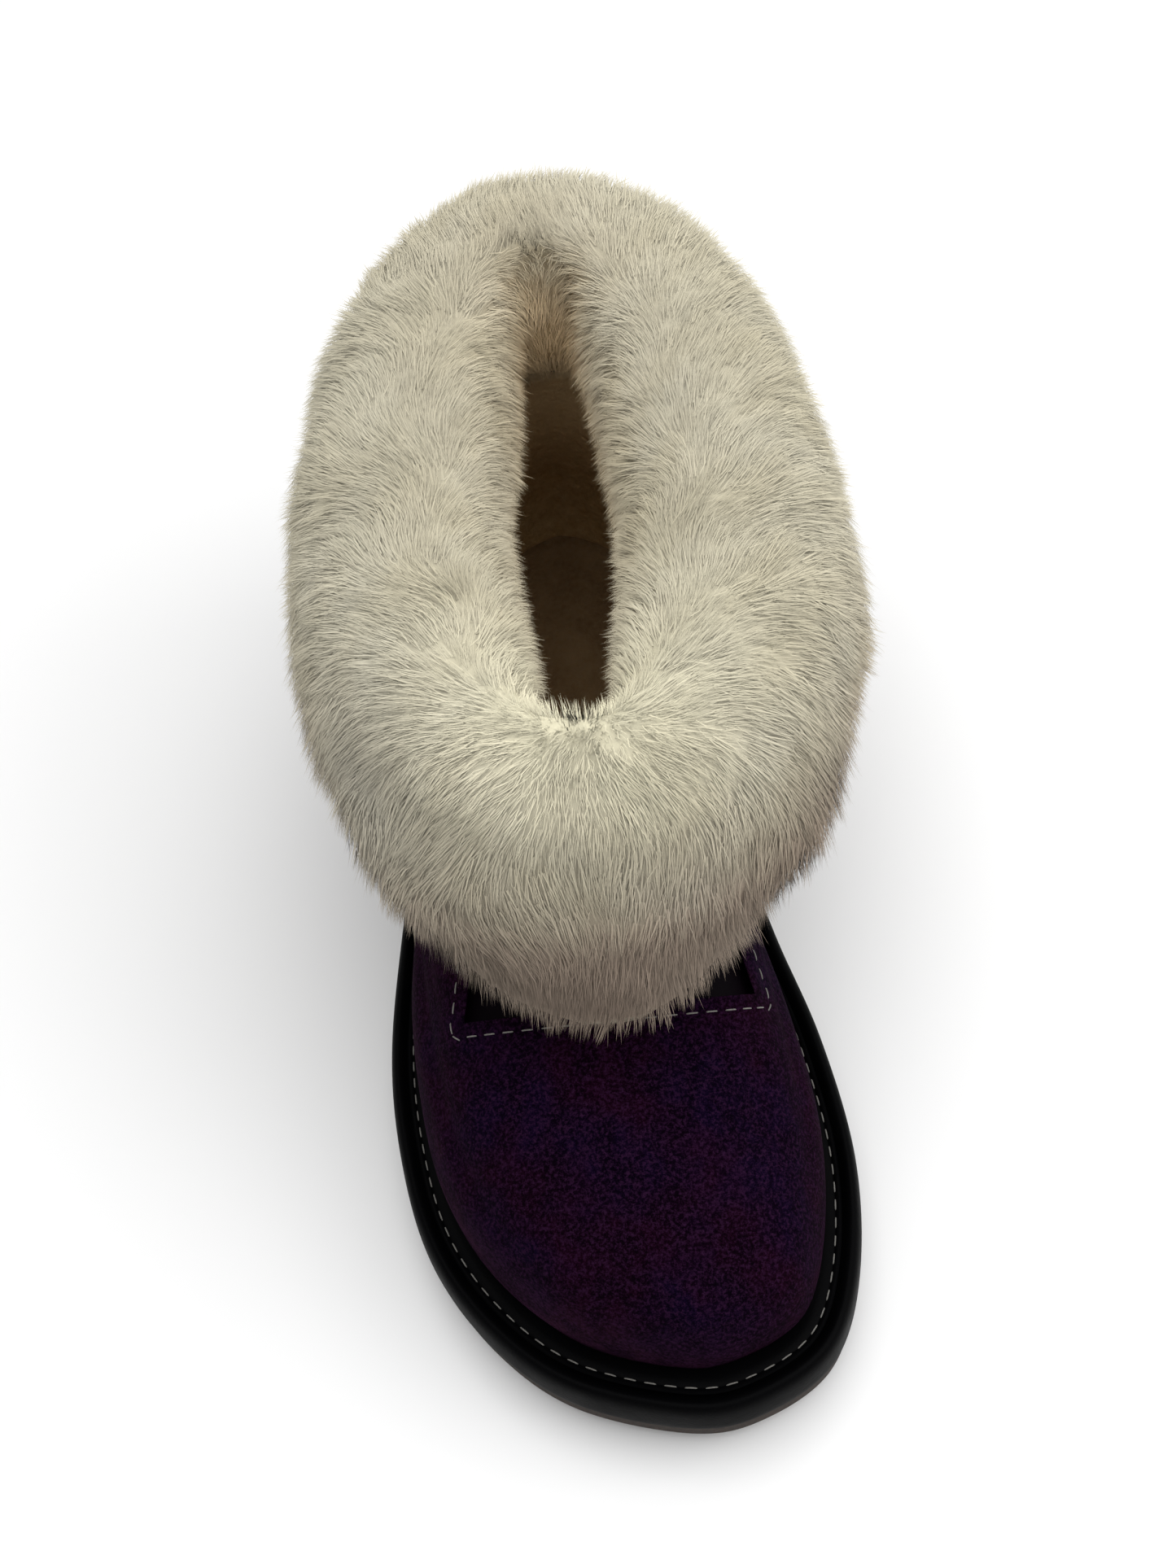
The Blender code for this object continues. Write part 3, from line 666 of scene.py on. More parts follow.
def object_axes(tree):
    """The X, Y and Z of each point of the piece."""
    place = shader_node(tree, "ShaderNodeTexCoord").outputs["Object"]
    return shader_node(tree, "ShaderNodeSeparateXYZ", Vector=place).outputs


SUEDE_BLUE = (0.0042, 0.0014, 0.0112)
SUEDE_WINE = (0.0088, 0.0009, 0.0054)
SUEDE_DARK = (0.0016, 0.0002, 0.0020)
SUEDE_LIGHT = (0.0250, 0.0068, 0.0265)
SUEDE_EDGE = (0.0420, 0.0130, 0.0290)
SUEDE_INNER_EDGE = (0.0150, 0.0022, 0.0085)
suede, tree, shader = plain_material("suede", SUEDE_WINE, 0.95)
patches = object_noise(tree, 42.0, 4.0, 0.55)
brushed = object_noise(tree, 170.0, 4.0, 0.65, stretch=(1.0, 0.7, 1.0))
nap = object_noise(tree, 1250.0, 3.0, 0.8)
place = object_axes(tree)
low_edge = ramp(tree, place["Z"], FEATHER_HEIGHT + 3 * MM, FEATHER_HEIGHT + 25 * MM, 0.9, 0.0)
inner_side = ramp(tree, place["X"], -15 * MM, 25 * MM)
edge_shade = blend_colour(tree, inner_side, SUEDE_EDGE, SUEDE_INNER_EDGE)
shade = blend_colour(tree, ramp(tree, patches, 0.43, 0.57), SUEDE_WINE, SUEDE_BLUE)
shade = blend_colour(tree, low_edge, shade, edge_shade)
shade = blend_colour(tree, ramp(tree, brushed, 0.40, 0.60, 0.75, 0.0), shade, SUEDE_DARK)
shade = blend_colour(tree, ramp(tree, nap, 0.34, 0.50, 0.9, 0.0), shade, SUEDE_DARK)
shade = blend_colour(tree, ramp(tree, nap, 0.47, 0.66, 0.0, 0.85), shade, SUEDE_LIGHT)
tree.links.new(shade, shader.inputs["Base Color"])
shader.inputs["Sheen Weight"].default_value = 0.008
shader.inputs["Sheen Roughness"].default_value = 0.45
shader.inputs["Sheen Tint"].default_value = (0.70, 0.30, 0.60, 1.0)
shader.inputs["Specular IOR Level"].default_value = 0.02
add_bump(tree, shader, patches, 0.25, 1.2 * MM)
add_bump(tree, shader, brushed, 0.30, 0.6 * MM)
add_bump(tree, shader, nap, 0.9, 0.5 * MM)
upper = upper_sheet("suede_upper", suede, 0.0, 104, 78, suede_relief)
give_wall(upper, UPPER_WALL)
cut_by(upper, throat_block(0.0), "DIFFERENCE")
wear_as(upper, "upper")

# Stitches of the throat
# The same grey thread holds the tongue under the suede, in a row about 3.5 mm outside the cut edge.
# Each stitch lies on the suede where a line square to the vamp's slope meets it.
THROAT_STITCH_MARGIN = 3.4 * MM
OVER_THE_SHOE = 160 * MM
outer_front, inner_front, inner_back, outer_back = throat_corners(THROAT_STITCH_MARGIN)
skin = BVHTree.FromObject(upper, bpy.context.evaluated_depsgraph_get())
ray = (throat_point(0, 0, 0) - throat_point(0, 0, 1)).normalized()
path, ups = [], []
for (x0, y0), (x1, y1), count in (
    (outer_back, outer_front, 40),
    (outer_front, inner_front, 60),
    (inner_front, inner_back, 40),
):
    for share in np.arange(count) / count:
        above = throat_point(x0 + (x1 - x0) * share, y0 + (y1 - y0) * share, OVER_THE_SHOE)
        spot, normal, _, _ = skin.ray_cast(above, ray)
        if spot is not None:
            path.append(spot + normal * 0.05 * MM)
            ups.append(normal)
throat_stitches = sew_row("throat_stitches", path, ups, False)
bpy.data.objects.remove(DASH)

# Tongue
# A panel of smooth dark leather closes the throat from inside. It is sewn under the suede all round,
# so its edge shows as a step below the suede.
TONGUE_GAP = 0.6 * MM
TONGUE_THICK = 1.5 * MM
THROAT_OVERLAP = 7 * MM
tongue_leather = leather_material(
    "tongue_leather", (0.0012, 0.0005, 0.0012), (0.0036, 0.0016, 0.0036), 0.55, 1300.0
)
tongue = upper_sheet("tongue_panel", tongue_leather, UPPER_WALL + TONGUE_GAP, 104, 60, None)
give_wall(tongue, TONGUE_THICK)
cut_by(tongue, throat_block(THROAT_OVERLAP), "INTERSECT")
wear_as(tongue, "tongue")

# Insole
# A sheepskin insole, cut to the inside of the upper, lies loose on the platform. Its short pile is
# trodden flat and brown with wear.
INSOLE_INSET = FEATHER_INSET + UPPER_WALL + 1.0 * MM
INSOLE_THICK = 4.5 * MM
INSOLE_SIDE = (
    # inset, up
    (0.0, 0.00),
    (0.0, 0.60),
    (0.5 * MM, 0.90),
    (1.8 * MM, 1.00),
    (4.0 * MM, 1.00),
)
insole_fleece, tree, shader = plain_material("insole_fleece", (0.28, 0.18, 0.08), 1.0)
pile = object_noise(tree, 700.0, 4.0, 0.7)
felted = object_noise(tree, 90.0, 4.0, 0.6)
pile_tone = blend_colour(tree, ramp(tree, felted, 0.35, 0.65), (0.20, 0.115, 0.045), (0.30, 0.19, 0.085))
tree.links.new(
    blend_colour(tree, ramp(tree, pile, 0.4, 0.7, 0.0, 0.5), pile_tone, (0.30, 0.21, 0.11)),
    shader.inputs["Base Color"],
)
add_bump(tree, shader, felted, 0.6, 2.0 * MM)
add_bump(tree, shader, pile, 0.9, 0.8 * MM)
rings = [
    sole_ring(INSOLE_INSET + inset, WELT_LOW + up * INSOLE_THICK, FINE_STATIONS)
    for inset, up in INSOLE_SIDE
]
insole = make_piece("insole_pad", insole_fleece, np.vstack(rings), closed_stack(rings), 180)
wear_as(insole, "insole")

# Sheepskin cuff
# A lambskin is sewn to the top line and folded down over the outside, wool outwards. Its skin side lies
# on the suede, and the wool rolls over the crown into the shaft. This solid is the dense wool near the skin.
OUTER_PILE = 22 * MM
INNER_PILE = 22 * MM
INNER_PILE_ENDS = 8.5 * MM
CROWN_PILE = 19 * MM
HEM_DROOP = -1 * MM
HEM_DROOP_ENDS = 0.34
SOFT_GAP = 0.6 * MM
INSIDE = UPPER_WALL + TONGUE_GAP + TONGUE_THICK + SOFT_GAP
FLUFF = 1.5 * MM
FLEECE = (
    # place, out, up, level
    (1.97, -0.50, 0.00, 1.0),
    (1.62, -0.93, 0.00, 1.0),
    (1.15, -1.02, 0.08, 1.0),
    (1.00, -0.72, 0.70, 1.0),
    (1.00, -0.05, 1.00, 1.0),
    (1.00, 0.58, 0.80, 1.0),
    (0.97, 0.95, 0.20, 0.8),
    (0.68, 1.03, 0.00, 0.5),
    (0.34, 0.96, 0.00, 0.4),
    (0.04, 0.56, 0.00, 0.3),
)
HEM_FRONT, HEM_STEPS = 0.615, ((0.03, 0.03, 0.20), (-0.29, 0.28, 0.62))
ROLL_FRONT, ROLL_STEPS = 0.13, ((0.21, 0.15, 0.80),)
DENTS = (
    # turn, where, round, long, depth
    (0.22, 6.1, 0.045, 0.9, 2.6 * MM),
    (0.30, 7.4, 0.030, 0.9, 1.6 * MM),
    (1.70, 6.9, 0.035, 1.0, 1.5 * MM),
    (1.86, 7.7, 0.040, 0.8, 1.4 * MM),
    (0.10, 7.2, 0.050, 0.7, 1.2 * MM),
    (0.62, 5.8, 0.050, 0.9, 1.3 * MM),
    (1.35, 6.0, 0.045, 0.9, 1.3 * MM),
    (1.00, 7.0, 0.050, 1.0, 1.2 * MM),
    (1.66, 6.3, 0.110, 1.3, -4.0 * MM),
    (1.80, 7.6, 0.060, 0.8, -2.0 * MM),
    (1.00, 5.0, 0.160, 1.3, -4.5 * MM),
    (0.00, 7.2, 0.260, 0.8, -4.5 * MM),
    (0.00, 8.1, 0.300, 0.6, -2.0 * MM),
)


def stepped(turn, front, steps):
    """A value that starts at front over the toe and changes in soft steps on the way to the heel."""
    from_toe = 1 - np.abs((turn % 2.0) - 1.0)
    return front + sum(rise * smooth_step(from_toe, low, high) for rise, low, high in steps)


def fleece_rows(turns, depth):
    """Control points of the fleece side at each turn, depth below the ends of the wool."""
    hem, drop = stepped(turns, HEM_FRONT, HEM_STEPS), stepped(turns, ROLL_FRONT, ROLL_STEPS)
    rows = []
    for place, out, up, flat in FLEECE:
        level = hem + (1 - hem) * place if place <= 1 else 1 - drop * (place - 1)
        square = last_normal(turns, level)
        level_out = square * np.array([1.0, 1.0, 0.0])
        level_out /= np.linalg.norm(level_out, axis=1)[:, None]
        way = square + (level_out - square) * flat
        way /= np.linalg.norm(way, axis=1)[:, None]
        if out > 0:
            reach = np.full_like(turns, SOFT_GAP + out * (OUTER_PILE - depth))
        else:
            pile = INNER_PILE + (INNER_PILE_ENDS - INNER_PILE) * np.cos(math.pi * turns) ** 4
            reach = out * (pile - depth) - INSIDE
        rise = up * (CROWN_PILE - depth) - HEM_DROOP * max(0.0, 1 - place / HEM_DROOP_ENDS)
        rows.append(last_surface(turns, level) + way * reach[:, None] + np.array([0, 0, 1.0]) * rise)
    return np.array(rows)


def fleece_grid(turns, per_span, depth):
    """Rings over the fleece side, the row that each is at, and its unit normals and ways down to the hem."""
    rows = fleece_rows(turns, depth)
    rings = through(rows.reshape(len(rows), -1), per_span, closed=False).reshape(-1, len(turns), 3)
    around = np.roll(rings, -1, axis=1) - np.roll(rings, 1, axis=1)
    down = np.gradient(rings, axis=0)
    normal = np.cross(around, down)
    normal /= np.linalg.norm(normal, axis=2, keepdims=True)
    down = down / np.linalg.norm(down, axis=2, keepdims=True)
    where = np.arange(len(rings)) / per_span
    return rings, where, normal, down


def fleece_relief(turns, where):
    """Dents pressed into the wool, and the slow unevenness of its depth."""
    turn, row = np.meshgrid(turns, where)
    relief = 0.6 * MM * np.sin(turn * 17.0 + row * 1.9) * np.sin(row * 2.3 - turn * 5.0)
    relief += 0.2 * MM * np.sin(turn * 41.0 - row * 3.1) * np.sin(row * 4.1 + turn * 11.0)
    for at_turn, at_row, wide, long, depth in DENTS:
        far = (turn - at_turn + 1.0) % 2.0 - 1.0
        relief -= depth * np.exp(-((far / wide) ** 2) - ((row - at_row) / long) ** 2)
    return relief


WOOL_TURNS = np.arange(360) / 180
rings, where, normal, down = fleece_grid(WOOL_TURNS, 6, FLUFF)
fleece = rings + normal * fleece_relief(WOOL_TURNS, where)[..., None]
hem, drop = stepped(WOOL_TURNS, HEM_FRONT, HEM_STEPS), stepped(WOOL_TURNS, ROLL_FRONT, ROLL_STEPS)
skin_side = []
for share in np.linspace(0.0, 1.0, 14):
    level = hem + (1 - hem) * share
    skin_side.append(last_surface(WOOL_TURNS, level) + last_normal(WOOL_TURNS, level) * SOFT_GAP)
for share in np.linspace(0.0, 1.0, 9):
    level = 1 - drop * share
    skin_side.append(last_surface(WOOL_TURNS, level) - last_normal(WOOL_TURNS, level) * INSIDE)
HALF_ROUND = 160 * MM
WOOL_CREAM = np.array((0.66, 0.61, 0.46))
# The wool under the tufts is painted a fifth darker, as painted shade for the shadow that the tufts cast on
# it.
BASE_PAINTED_SHADE = 0.80
# Painted light and shade on the wool: a painted highlight on the crown at the front, painted shade low on
# the front of the roll, along the hem round the back and sides and in a dent on the outer side, and painted
# shade with warm bounce light in browns down inside the opening.
WOOL_PAINTED_LIGHT_AND_SHADE = (
    # colour, row, rows, turn, turns
    ((1.0, 0.94, 0.69), 3.6, 1.5, 0.00, 0.25),
    ((0.23, 0.160, 0.125), 8.6, 1.9, 1.98, 0.42),
    ((0.24, 0.180, 0.140), 8.1, 1.5, 1.80, 0.22),
    ((0.54, 0.46, 0.37), 8.8, 1.6, 1.00, 0.90),
    ((0.60, 0.56, 0.45), 6.3, 1.2, 0.24, 0.10),
    ((0.54, 0.37, 0.19), 0.4, 1.9, 1.00, 0.55),
    ((0.95, 0.68, 0.38), 1.4, 1.5, 1.00, 0.16),
    ((0.60, 0.46, 0.28), 0.0, 1.5, 0.00, 0.70),
)


def wool_colour_and_painted_light(points, turns, where):
    """Colour of the wool at each point: cream with slow yellow and grey clouds, with the listed painted
    light and shade laid over it.
    """
    turn, row = np.meshgrid(turns, where)
    cloud = (smooth_wave(points, 8, 30 * MM) * 0.035 + smooth_wave(points, 9, 8 * MM) * 0.03)[..., None]
    dye = WOOL_CREAM * (1 + cloud * np.array((0.8, 1.0, 1.5)))
    for colour, at_row, rows, at_turn, wide in WOOL_PAINTED_LIGHT_AND_SHADE:
        far = (turn - at_turn + 1.0) % 2.0 - 1.0
        share = np.exp(-((far / wide) ** 2) - ((row - at_row) / rows) ** 2)[..., None]
        dye = dye + (np.array(colour) - dye) * share
    return np.clip(dye, 0.0, 1.0)


def smooth_wave(points, seed, size):
    """A slow unevenness from a few sine waves in space, about -1 to 1, with waves of about size."""
    chance = np.random.default_rng(seed)
    total = np.zeros(points.shape[:-1])
    for _ in range(6):
        way = chance.normal(0, 1, 3)
        way *= 2 * math.pi / (size * chance.uniform(0.7, 1.5)) / np.linalg.norm(way)
        total += np.sin(points @ way + chance.uniform(0, 2 * math.pi))
    return total / 2.6


def carry(mesh, label, values):
    """Keeps a number or a vector for every point of a mesh."""
    kind, field = ("FLOAT", "value") if values.ndim == 1 else ("FLOAT_VECTOR", "vector")
    mesh.attributes.new(label, kind, "POINT").data.foreach_set(field, np.ravel(values))


def wool_material(name):
    """Scoured wool, matt all over: its colour comes from an attribute of the piece, which carries painted
    light and shade as well as the wool's own tone.
    """
    made, tree, shader = plain_material(name, WOOL_CREAM, 0.95)
    dye = shader_node(tree, "ShaderNodeAttribute")
    dye.attribute_name = "dye"
    shader.inputs["Specular IOR Level"].default_value = 0.05
    return made, tree, shader, dye.outputs["Color"]


wool, tree, shader, dye = wool_material("wool")
tree.links.new(dye, shader.inputs["Base Color"])
flow = shader_node(tree, "ShaderNodeUVMap")
flow.uv_map = "flow"
streak_place = shader_node(tree, "ShaderNodeMapping", Vector=flow.outputs["UV"], Scale=(1.0, 0.22, 1.0))
streaks = shader_node(tree, "ShaderNodeTexNoise", Vector=streak_place.outputs["Vector"], Scale=1500.0)
streaks.inputs["Detail"].default_value = 3.0
add_bump(tree, shader, object_noise(tree, 300.0, 4.0, 0.6), 0.15, 0.8 * MM)
add_bump(tree, shader, streaks.outputs["Fac"], 0.35, 0.3 * MM)
section = skin_side + list(fleece)
cuff = make_piece("cuff_wool", wool, np.vstack(section), belt(section, True), 180)
# The wool's cream and clouds with their painted light and shade; the base solid also takes the painted base
# shade.
wool_colours_and_painted_light = wool_colour_and_painted_light(fleece, WOOL_TURNS, where)
under = np.tile(WOOL_CREAM, (len(skin_side) * len(WOOL_TURNS), 1))
carry(cuff.data, "dye", np.vstack([under, wool_colours_and_painted_light.reshape(-1, 3)]) * BASE_PAINTED_SHADE)
paced = np.linalg.norm(np.diff(np.array(section), axis=0, prepend=[section[0]]), axis=2).cumsum(axis=0)
around = np.broadcast_to(WOOL_TURNS * HALF_ROUND, paced.shape)
flow_places = np.stack([around.ravel(), paced.ravel()], axis=1)
corners = np.empty(len(cuff.data.loops), dtype=int)
cuff.data.loops.foreach_get("vertex_index", corners)
cuff.data.uv_layers.new(name="flow").data.foreach_set("uv", flow_places[corners].ravel())
wear_as(cuff, "cuff")

# Lining
# Short fleece lines the foot and the shaft from the feather edge up to the roll of the cuff.
# It is glued to the suede's inner side; it is painted dark brown low down and light tan towards the top,
# painted shade deeper inside the shoe.
lining_fleece, tree, shader = plain_material("lining_fleece", (0.50, 0.32, 0.13), 1.0)
curl = object_noise(tree, 320.0, 5.0, 0.7)
# Painted shade: the mottled fleece is painted dark brown low down, deeper in the shoe, and light tan towards
# the top.
mottled_painted_shade = blend_colour(tree, ramp(tree, curl, 0.3, 0.7), (0.42, 0.26, 0.09), (0.58, 0.39, 0.18))
painted_shade_fades_upwards = ramp(tree, object_axes(tree)["Z"], 45 * MM, 100 * MM)
tree.links.new(blend_colour(tree, painted_shade_fades_upwards, mottled_painted_shade, (0.92, 0.68, 0.38)), shader.inputs["Base Color"])
add_bump(tree, shader, curl, 0.9, 1.5 * MM)
LINING_THICK = 1.6 * MM
lining_turns = np.arange(240) / 120
rings = []
for share in np.linspace(0.015, 1.0, 40):
    level = share * (0.985 - stepped(lining_turns, ROLL_FRONT, ROLL_STEPS))
    rings.append(last_surface(lining_turns, level) - last_normal(lining_turns, level) * INSIDE)
lining = make_piece("fleece_lining", lining_fleece, np.vstack(rings), belt(rings, False), 180)
give_wall(lining, LINING_THICK)
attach(lining, "root")

# Wool tufts
# The ends of the wool stand off the roll in thousands of fine tapered tufts. They lie down and outwards
# below the crown, swing round towards the toe along it, and lean down into the opening on its inner side.
TUFT_HEIGHT = 5.6 * MM
TUFT_RADIUS = 2.1 * MM
HAIR_BREADTH = 0.12 * MM
HAIRS = 16
BENT_HAIRS = 7
STRAIGHT_TUFTS = 6
TUFT_KINDS = 8


def hair(vertices, faces, root, tip, bow):
    """A tapered flat hair with its broad side towards X; one with a bow bends in the middle."""
    rows = [(root, 1.0)]
    if bow is not None:
        rows.append(((root + tip) / 2 + bow, 0.75))
    start = len(vertices)
    for centre, size in rows:
        for x, y in ((0.0, 1.0), (-0.5, 0.0), (0.0, -1.0)):
            vertices.append(centre + Vector((x, y, 0.0)) * HAIR_BREADTH * size)
    vertices.append(tip)
    last = len(vertices) - 1
    faces.append((start + 2, start + 1, start))
    for row in range(len(rows) - 1):
        low = start + 3 * row
        for k in range(3):
            faces.append((low + k, low + (k + 1) % 3, low + 3 + (k + 1) % 3, low + 3 + k))
    for k in range(3):
        faces.append((last - 3 + k, last - 3 + (k + 1) % 3, last))


def tuft_shape(number, hairs, bent):
    """One tuft of tapered hairs standing along Z, its ends leaning together a little."""
    chance = np.random.default_rng(40 + number)
    vertices, faces, ends = [], [], []
    for _ in range(hairs):
        angle, far = chance.uniform(0, 2 * math.pi), math.sqrt(chance.uniform(0, 1)) * TUFT_RADIUS
        root = Vector((math.cos(angle) * far, math.sin(angle) * far, -1.0 * MM))
        tip = root * chance.uniform(0.6, 1.2)
        tip += Vector((*chance.normal(0, 0.7 * MM, 2), 0))
        tip.z = TUFT_HEIGHT * chance.uniform(0.70, 1.08)
        bow = Vector((*chance.normal(0, 0.35 * MM, 2), 0)) if bent else None
        hair(vertices, faces, root, tip, bow)
        ends += [0.0] * 3 + ([0.5] * 3 if bent else []) + [1.0]
    made = make_piece(f"tuft_shape_{number}", wool_ends, vertices, faces, 30)
    made.data.attributes.new("along", "FLOAT", "POINT").data.foreach_set("value", ends)
    return made


def chance_between(tree, low, high, seed, kind="FLOAT"):
    """A random number or vector for each tuft."""
    made = node_in(tree, "FunctionNodeRandomValue", data_type=kind)
    first = 0 if kind == "FLOAT_VECTOR" else 2
    made.inputs[first].default_value = low
    made.inputs[first + 1].default_value = high
    made.inputs["Seed"].default_value = seed
    return made


def tuft_tree():
    """Scatters tufts over a sheet. Its attributes say how they grow: lie is their way, skin the side that
    they turn outwards and size their height; a colour one gives their shade, with painted light and shade."""
    inputs = (
        ("Density", "NodeSocketFloat"),
        ("Apart", "NodeSocketFloat"),
        ("Seed", "NodeSocketInt"),
        ("Ruffle", "NodeSocketFloat"),
        ("Tufts", "NodeSocketCollection"),
        ("Wool", "NodeSocketMaterial"),
    )
    tree, start, end = geometry_tree("wool_tufts", inputs)
    links = [(start, "Geometry", "Mesh"), (start, "Apart", "Distance Min")]
    links += [(start, "Density", "Density Max"), (start, "Seed", "Seed")]
    spread = node_in(tree, "GeometryNodeDistributePointsOnFaces", links, distribute_method="POISSON")
    chance = chance_between(tree, (-1, -1, -1), (1, 1, 1), 3, "FLOAT_VECTOR")
    links = [(chance, "Value", 0), (start, "Ruffle", "Scale")]
    stray = node_in(tree, "ShaderNodeVectorMath", links, operation="SCALE")
    links = [(named(tree, "lie", "FLOAT_VECTOR"), "Attribute", 0), (stray, 0, 1)]
    way = node_in(tree, "ShaderNodeVectorMath", links, operation="ADD")
    stand = node_in(tree, "FunctionNodeAlignRotationToVector", [(way, 0, "Vector")], axis="Z")
    broad = align(tree, stand, "X", "Z", "skin")
    links = [(chance_between(tree, -0.3, 0.3, 5), 1, "Angle")]
    spin = node_in(tree, "FunctionNodeAxisAngleToRotation", links)
    spin.inputs["Axis"].default_value = (0, 0, 1)
    links = [(broad, "Rotation", "Rotation"), (spin, "Rotation", "Rotate By")]
    turned = node_in(tree, "FunctionNodeRotateRotation", links, rotation_space="LOCAL")
    links = [(named(tree, "size"), "Attribute", 0), (chance_between(tree, 0.78, 1.16, 7), 1, 1)]
    tall = node_in(tree, "ShaderNodeMath", links, operation="MULTIPLY")
    kinds = node_in(tree, "GeometryNodeCollectionInfo", [(start, "Tufts", "Collection")])
    kinds.inputs["Separate Children"].default_value = True
    links = [(spread, "Points", "Points"), (kinds, "Instances", "Instance")]
    links += [(turned, 0, "Rotation"), (tall, 0, "Scale")]
    plant = node_in(tree, "GeometryNodeInstanceOnPoints", links)
    plant.inputs["Pick Instance"].default_value = True
    links = [(named(tree, "dye", "FLOAT_VECTOR"), "Attribute", 0)]
    links += [(chance_between(tree, 0.94, 1.05, 11), 1, "Scale")]
    shade = node_in(tree, "ShaderNodeVectorMath", links, operation="SCALE")
    links = [(plant, "Instances", "Geometry"), (shade, 0, "Value")]
    settings = {"data_type": "FLOAT_VECTOR", "domain": "INSTANCE"}
    keep = node_in(tree, "GeometryNodeStoreNamedAttribute", links, **settings)
    keep.inputs["Name"].default_value = "dye"
    solid = node_in(tree, "GeometryNodeRealizeInstances", [(keep, 0, 0)])
    dye = node_in(tree, "GeometryNodeSetMaterial", [(solid, 0, "Geometry"), (start, "Wool", "Material")])
    tree.links.new(dye.outputs["Geometry"], end.inputs["Geometry"])
    return tree


def turned_about(vectors, axes, angles):
    """Each vector turned about its own unit axis."""
    cos, sin = np.cos(angles)[..., None], np.sin(angles)[..., None]
    along = (vectors * axes).sum(-1, keepdims=True)
    return vectors * cos + np.cross(axes, vectors) * sin + axes * along * (1 - cos)


LIE = (
    # row, lean, swing
    (0.0, 0.8, 3.14),
    (2.2, 1.1, 3.14),
    (3.2, 1.3, 2.00),
    (4.0, 1.6, 1.00),
    (5.0, 1.9, 0.20),
    (6.0, 2.0, 0.00),
    (7.2, 1.7, 0.00),
    (8.4, 1.2, 0.00),
    (9.0, 0.9, 0.00),
)
HEIGHTS = (
    # row, height
    (0.0, 0.65),
    (2.0, 0.80),
    (3.5, 0.90),
    (6.5, 1.00),
    (8.0, 1.00),
    (9.0, 0.85),
)
LIFTS = (
    # row, lift of the side that a tuft turns outwards
    (0.0, 2.0),
    (2.0, 2.5),
    (3.2, 2.0),
    (4.0, 0.5),
    (9.0, 0.3),
)


def by_row(table, column=1):
    """A column of a table, read for every ring of the fleece."""
    table = np.array(table)
    return np.interp(where, table[:, 0], table[:, column])[:, None]


lean, swing = by_row(LIE)[..., None], by_row(LIE, 2)[..., None]
towards_toe = -np.clip(3 * np.sin(math.pi * WOOL_TURNS), -1, 1)[None, :, None] * np.cross(normal, down)
flow_way = down * np.cos(swing) + towards_toe * np.sin(swing)
swirl = 0.40 * smooth_wave(fleece, 3, 26 * MM) + 0.12 * smooth_wave(fleece, 4, 12 * MM)
lean = lean + 0.15 * smooth_wave(fleece, 6, 15 * MM)[..., None]
lie = normal + turned_about(flow_way, normal, swirl) * lean
lie /= np.linalg.norm(lie, axis=-1, keepdims=True)
size = 1.0 + 0.10 * smooth_wave(fleece, 12, 12 * MM)
size *= by_row(HEIGHTS)
around = np.roll(fleece, -1, axis=1) - np.roll(fleece, 1, axis=1)
skin = np.cross(around, np.gradient(fleece, axis=0))
skin /= np.linalg.norm(skin, axis=2, keepdims=True)
skin[..., 2] += by_row(LIFTS)
skin /= np.linalg.norm(skin, axis=2, keepdims=True)
wool_ends, tree, shader, dye = wool_material("wool_ends")
facing = shader_node(tree, "ShaderNodeAttribute")
facing.attribute_name = "skin"
tree.links.new(facing.outputs["Vector"], shader.inputs["Normal"])
along = shader_node(tree, "ShaderNodeAttribute")
along.attribute_name = "along"
# Painted shade: each hair is painted 3% darker towards its root, deep in the pile.
painted_root_shade = shader_node(tree, "ShaderNodeVectorMath", Vector=dye)
painted_root_shade.operation = "SCALE"
painted_root_shade.inputs["Scale"].default_value = 0.97
tree.links.new(
    blend_colour(tree, ramp(tree, along.outputs["Fac"], 0.1, 0.6), painted_root_shade.outputs["Vector"], dye),
    shader.inputs["Base Color"],
)
TUFTS = bpy.data.collections.new("tuft_shapes")
bpy.context.scene.collection.children.link(TUFTS)
for number in range(TUFT_KINDS):
    bent = number >= STRAIGHT_TUFTS
    shape = tuft_shape(number, BENT_HAIRS if bent else HAIRS, bent)
    bpy.context.scene.collection.objects.unlink(shape)
    TUFTS.objects.link(shape)
TUFT_TREE = tuft_tree()
TUFT_DENSITY = 0.8 / MM**2
TUFT_APART = 1.5 * MM
SECTORS = (
    # name, first turn, last turn
    ("wool_toe_side", 1.78, 2.22),
    ("wool_outer_front", 0.22, 0.52),
    ("wool_outer_back", 0.52, 0.84),
    ("wool_heel_side", 0.84, 1.16),
    ("wool_inner_back", 1.16, 1.48),
    ("wool_inner_front", 1.48, 1.78),
)
points = len(WOOL_TURNS)
quads = np.array(belt(list(fleece), False))
quad_turn = WOOL_TURNS[np.arange(len(quads)) % points]
for number, (name, first, last) in enumerate(SECTORS):
    within = (quad_turn - first) % 2.0 < last - first
    mesh = bpy.data.meshes.new(name)
    mesh.from_pydata(fleece.reshape(-1, 3).tolist(), [], quads[within][:, ::-1].tolist())
    carry(mesh, "lie", lie.reshape(-1, 3))
    carry(mesh, "skin", skin.reshape(-1, 3))
    carry(mesh, "size", size.ravel())
    carry(mesh, "dye", wool_colours_and_painted_light.reshape(-1, 3))
    sector = bpy.data.objects.new(name, mesh)
    bpy.context.scene.collection.objects.link(sector)
    asked = {"Density": TUFT_DENSITY, "Apart": TUFT_APART, "Seed": number, "Ruffle": 0.12}
    run_tree(sector, TUFT_TREE, {**asked, "Tufts": TUFTS, "Wool": wool_ends})
    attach(sector, "root")
for shape in list(TUFTS.objects):
    bpy.data.objects.remove(shape)
bpy.data.collections.remove(TUFTS)

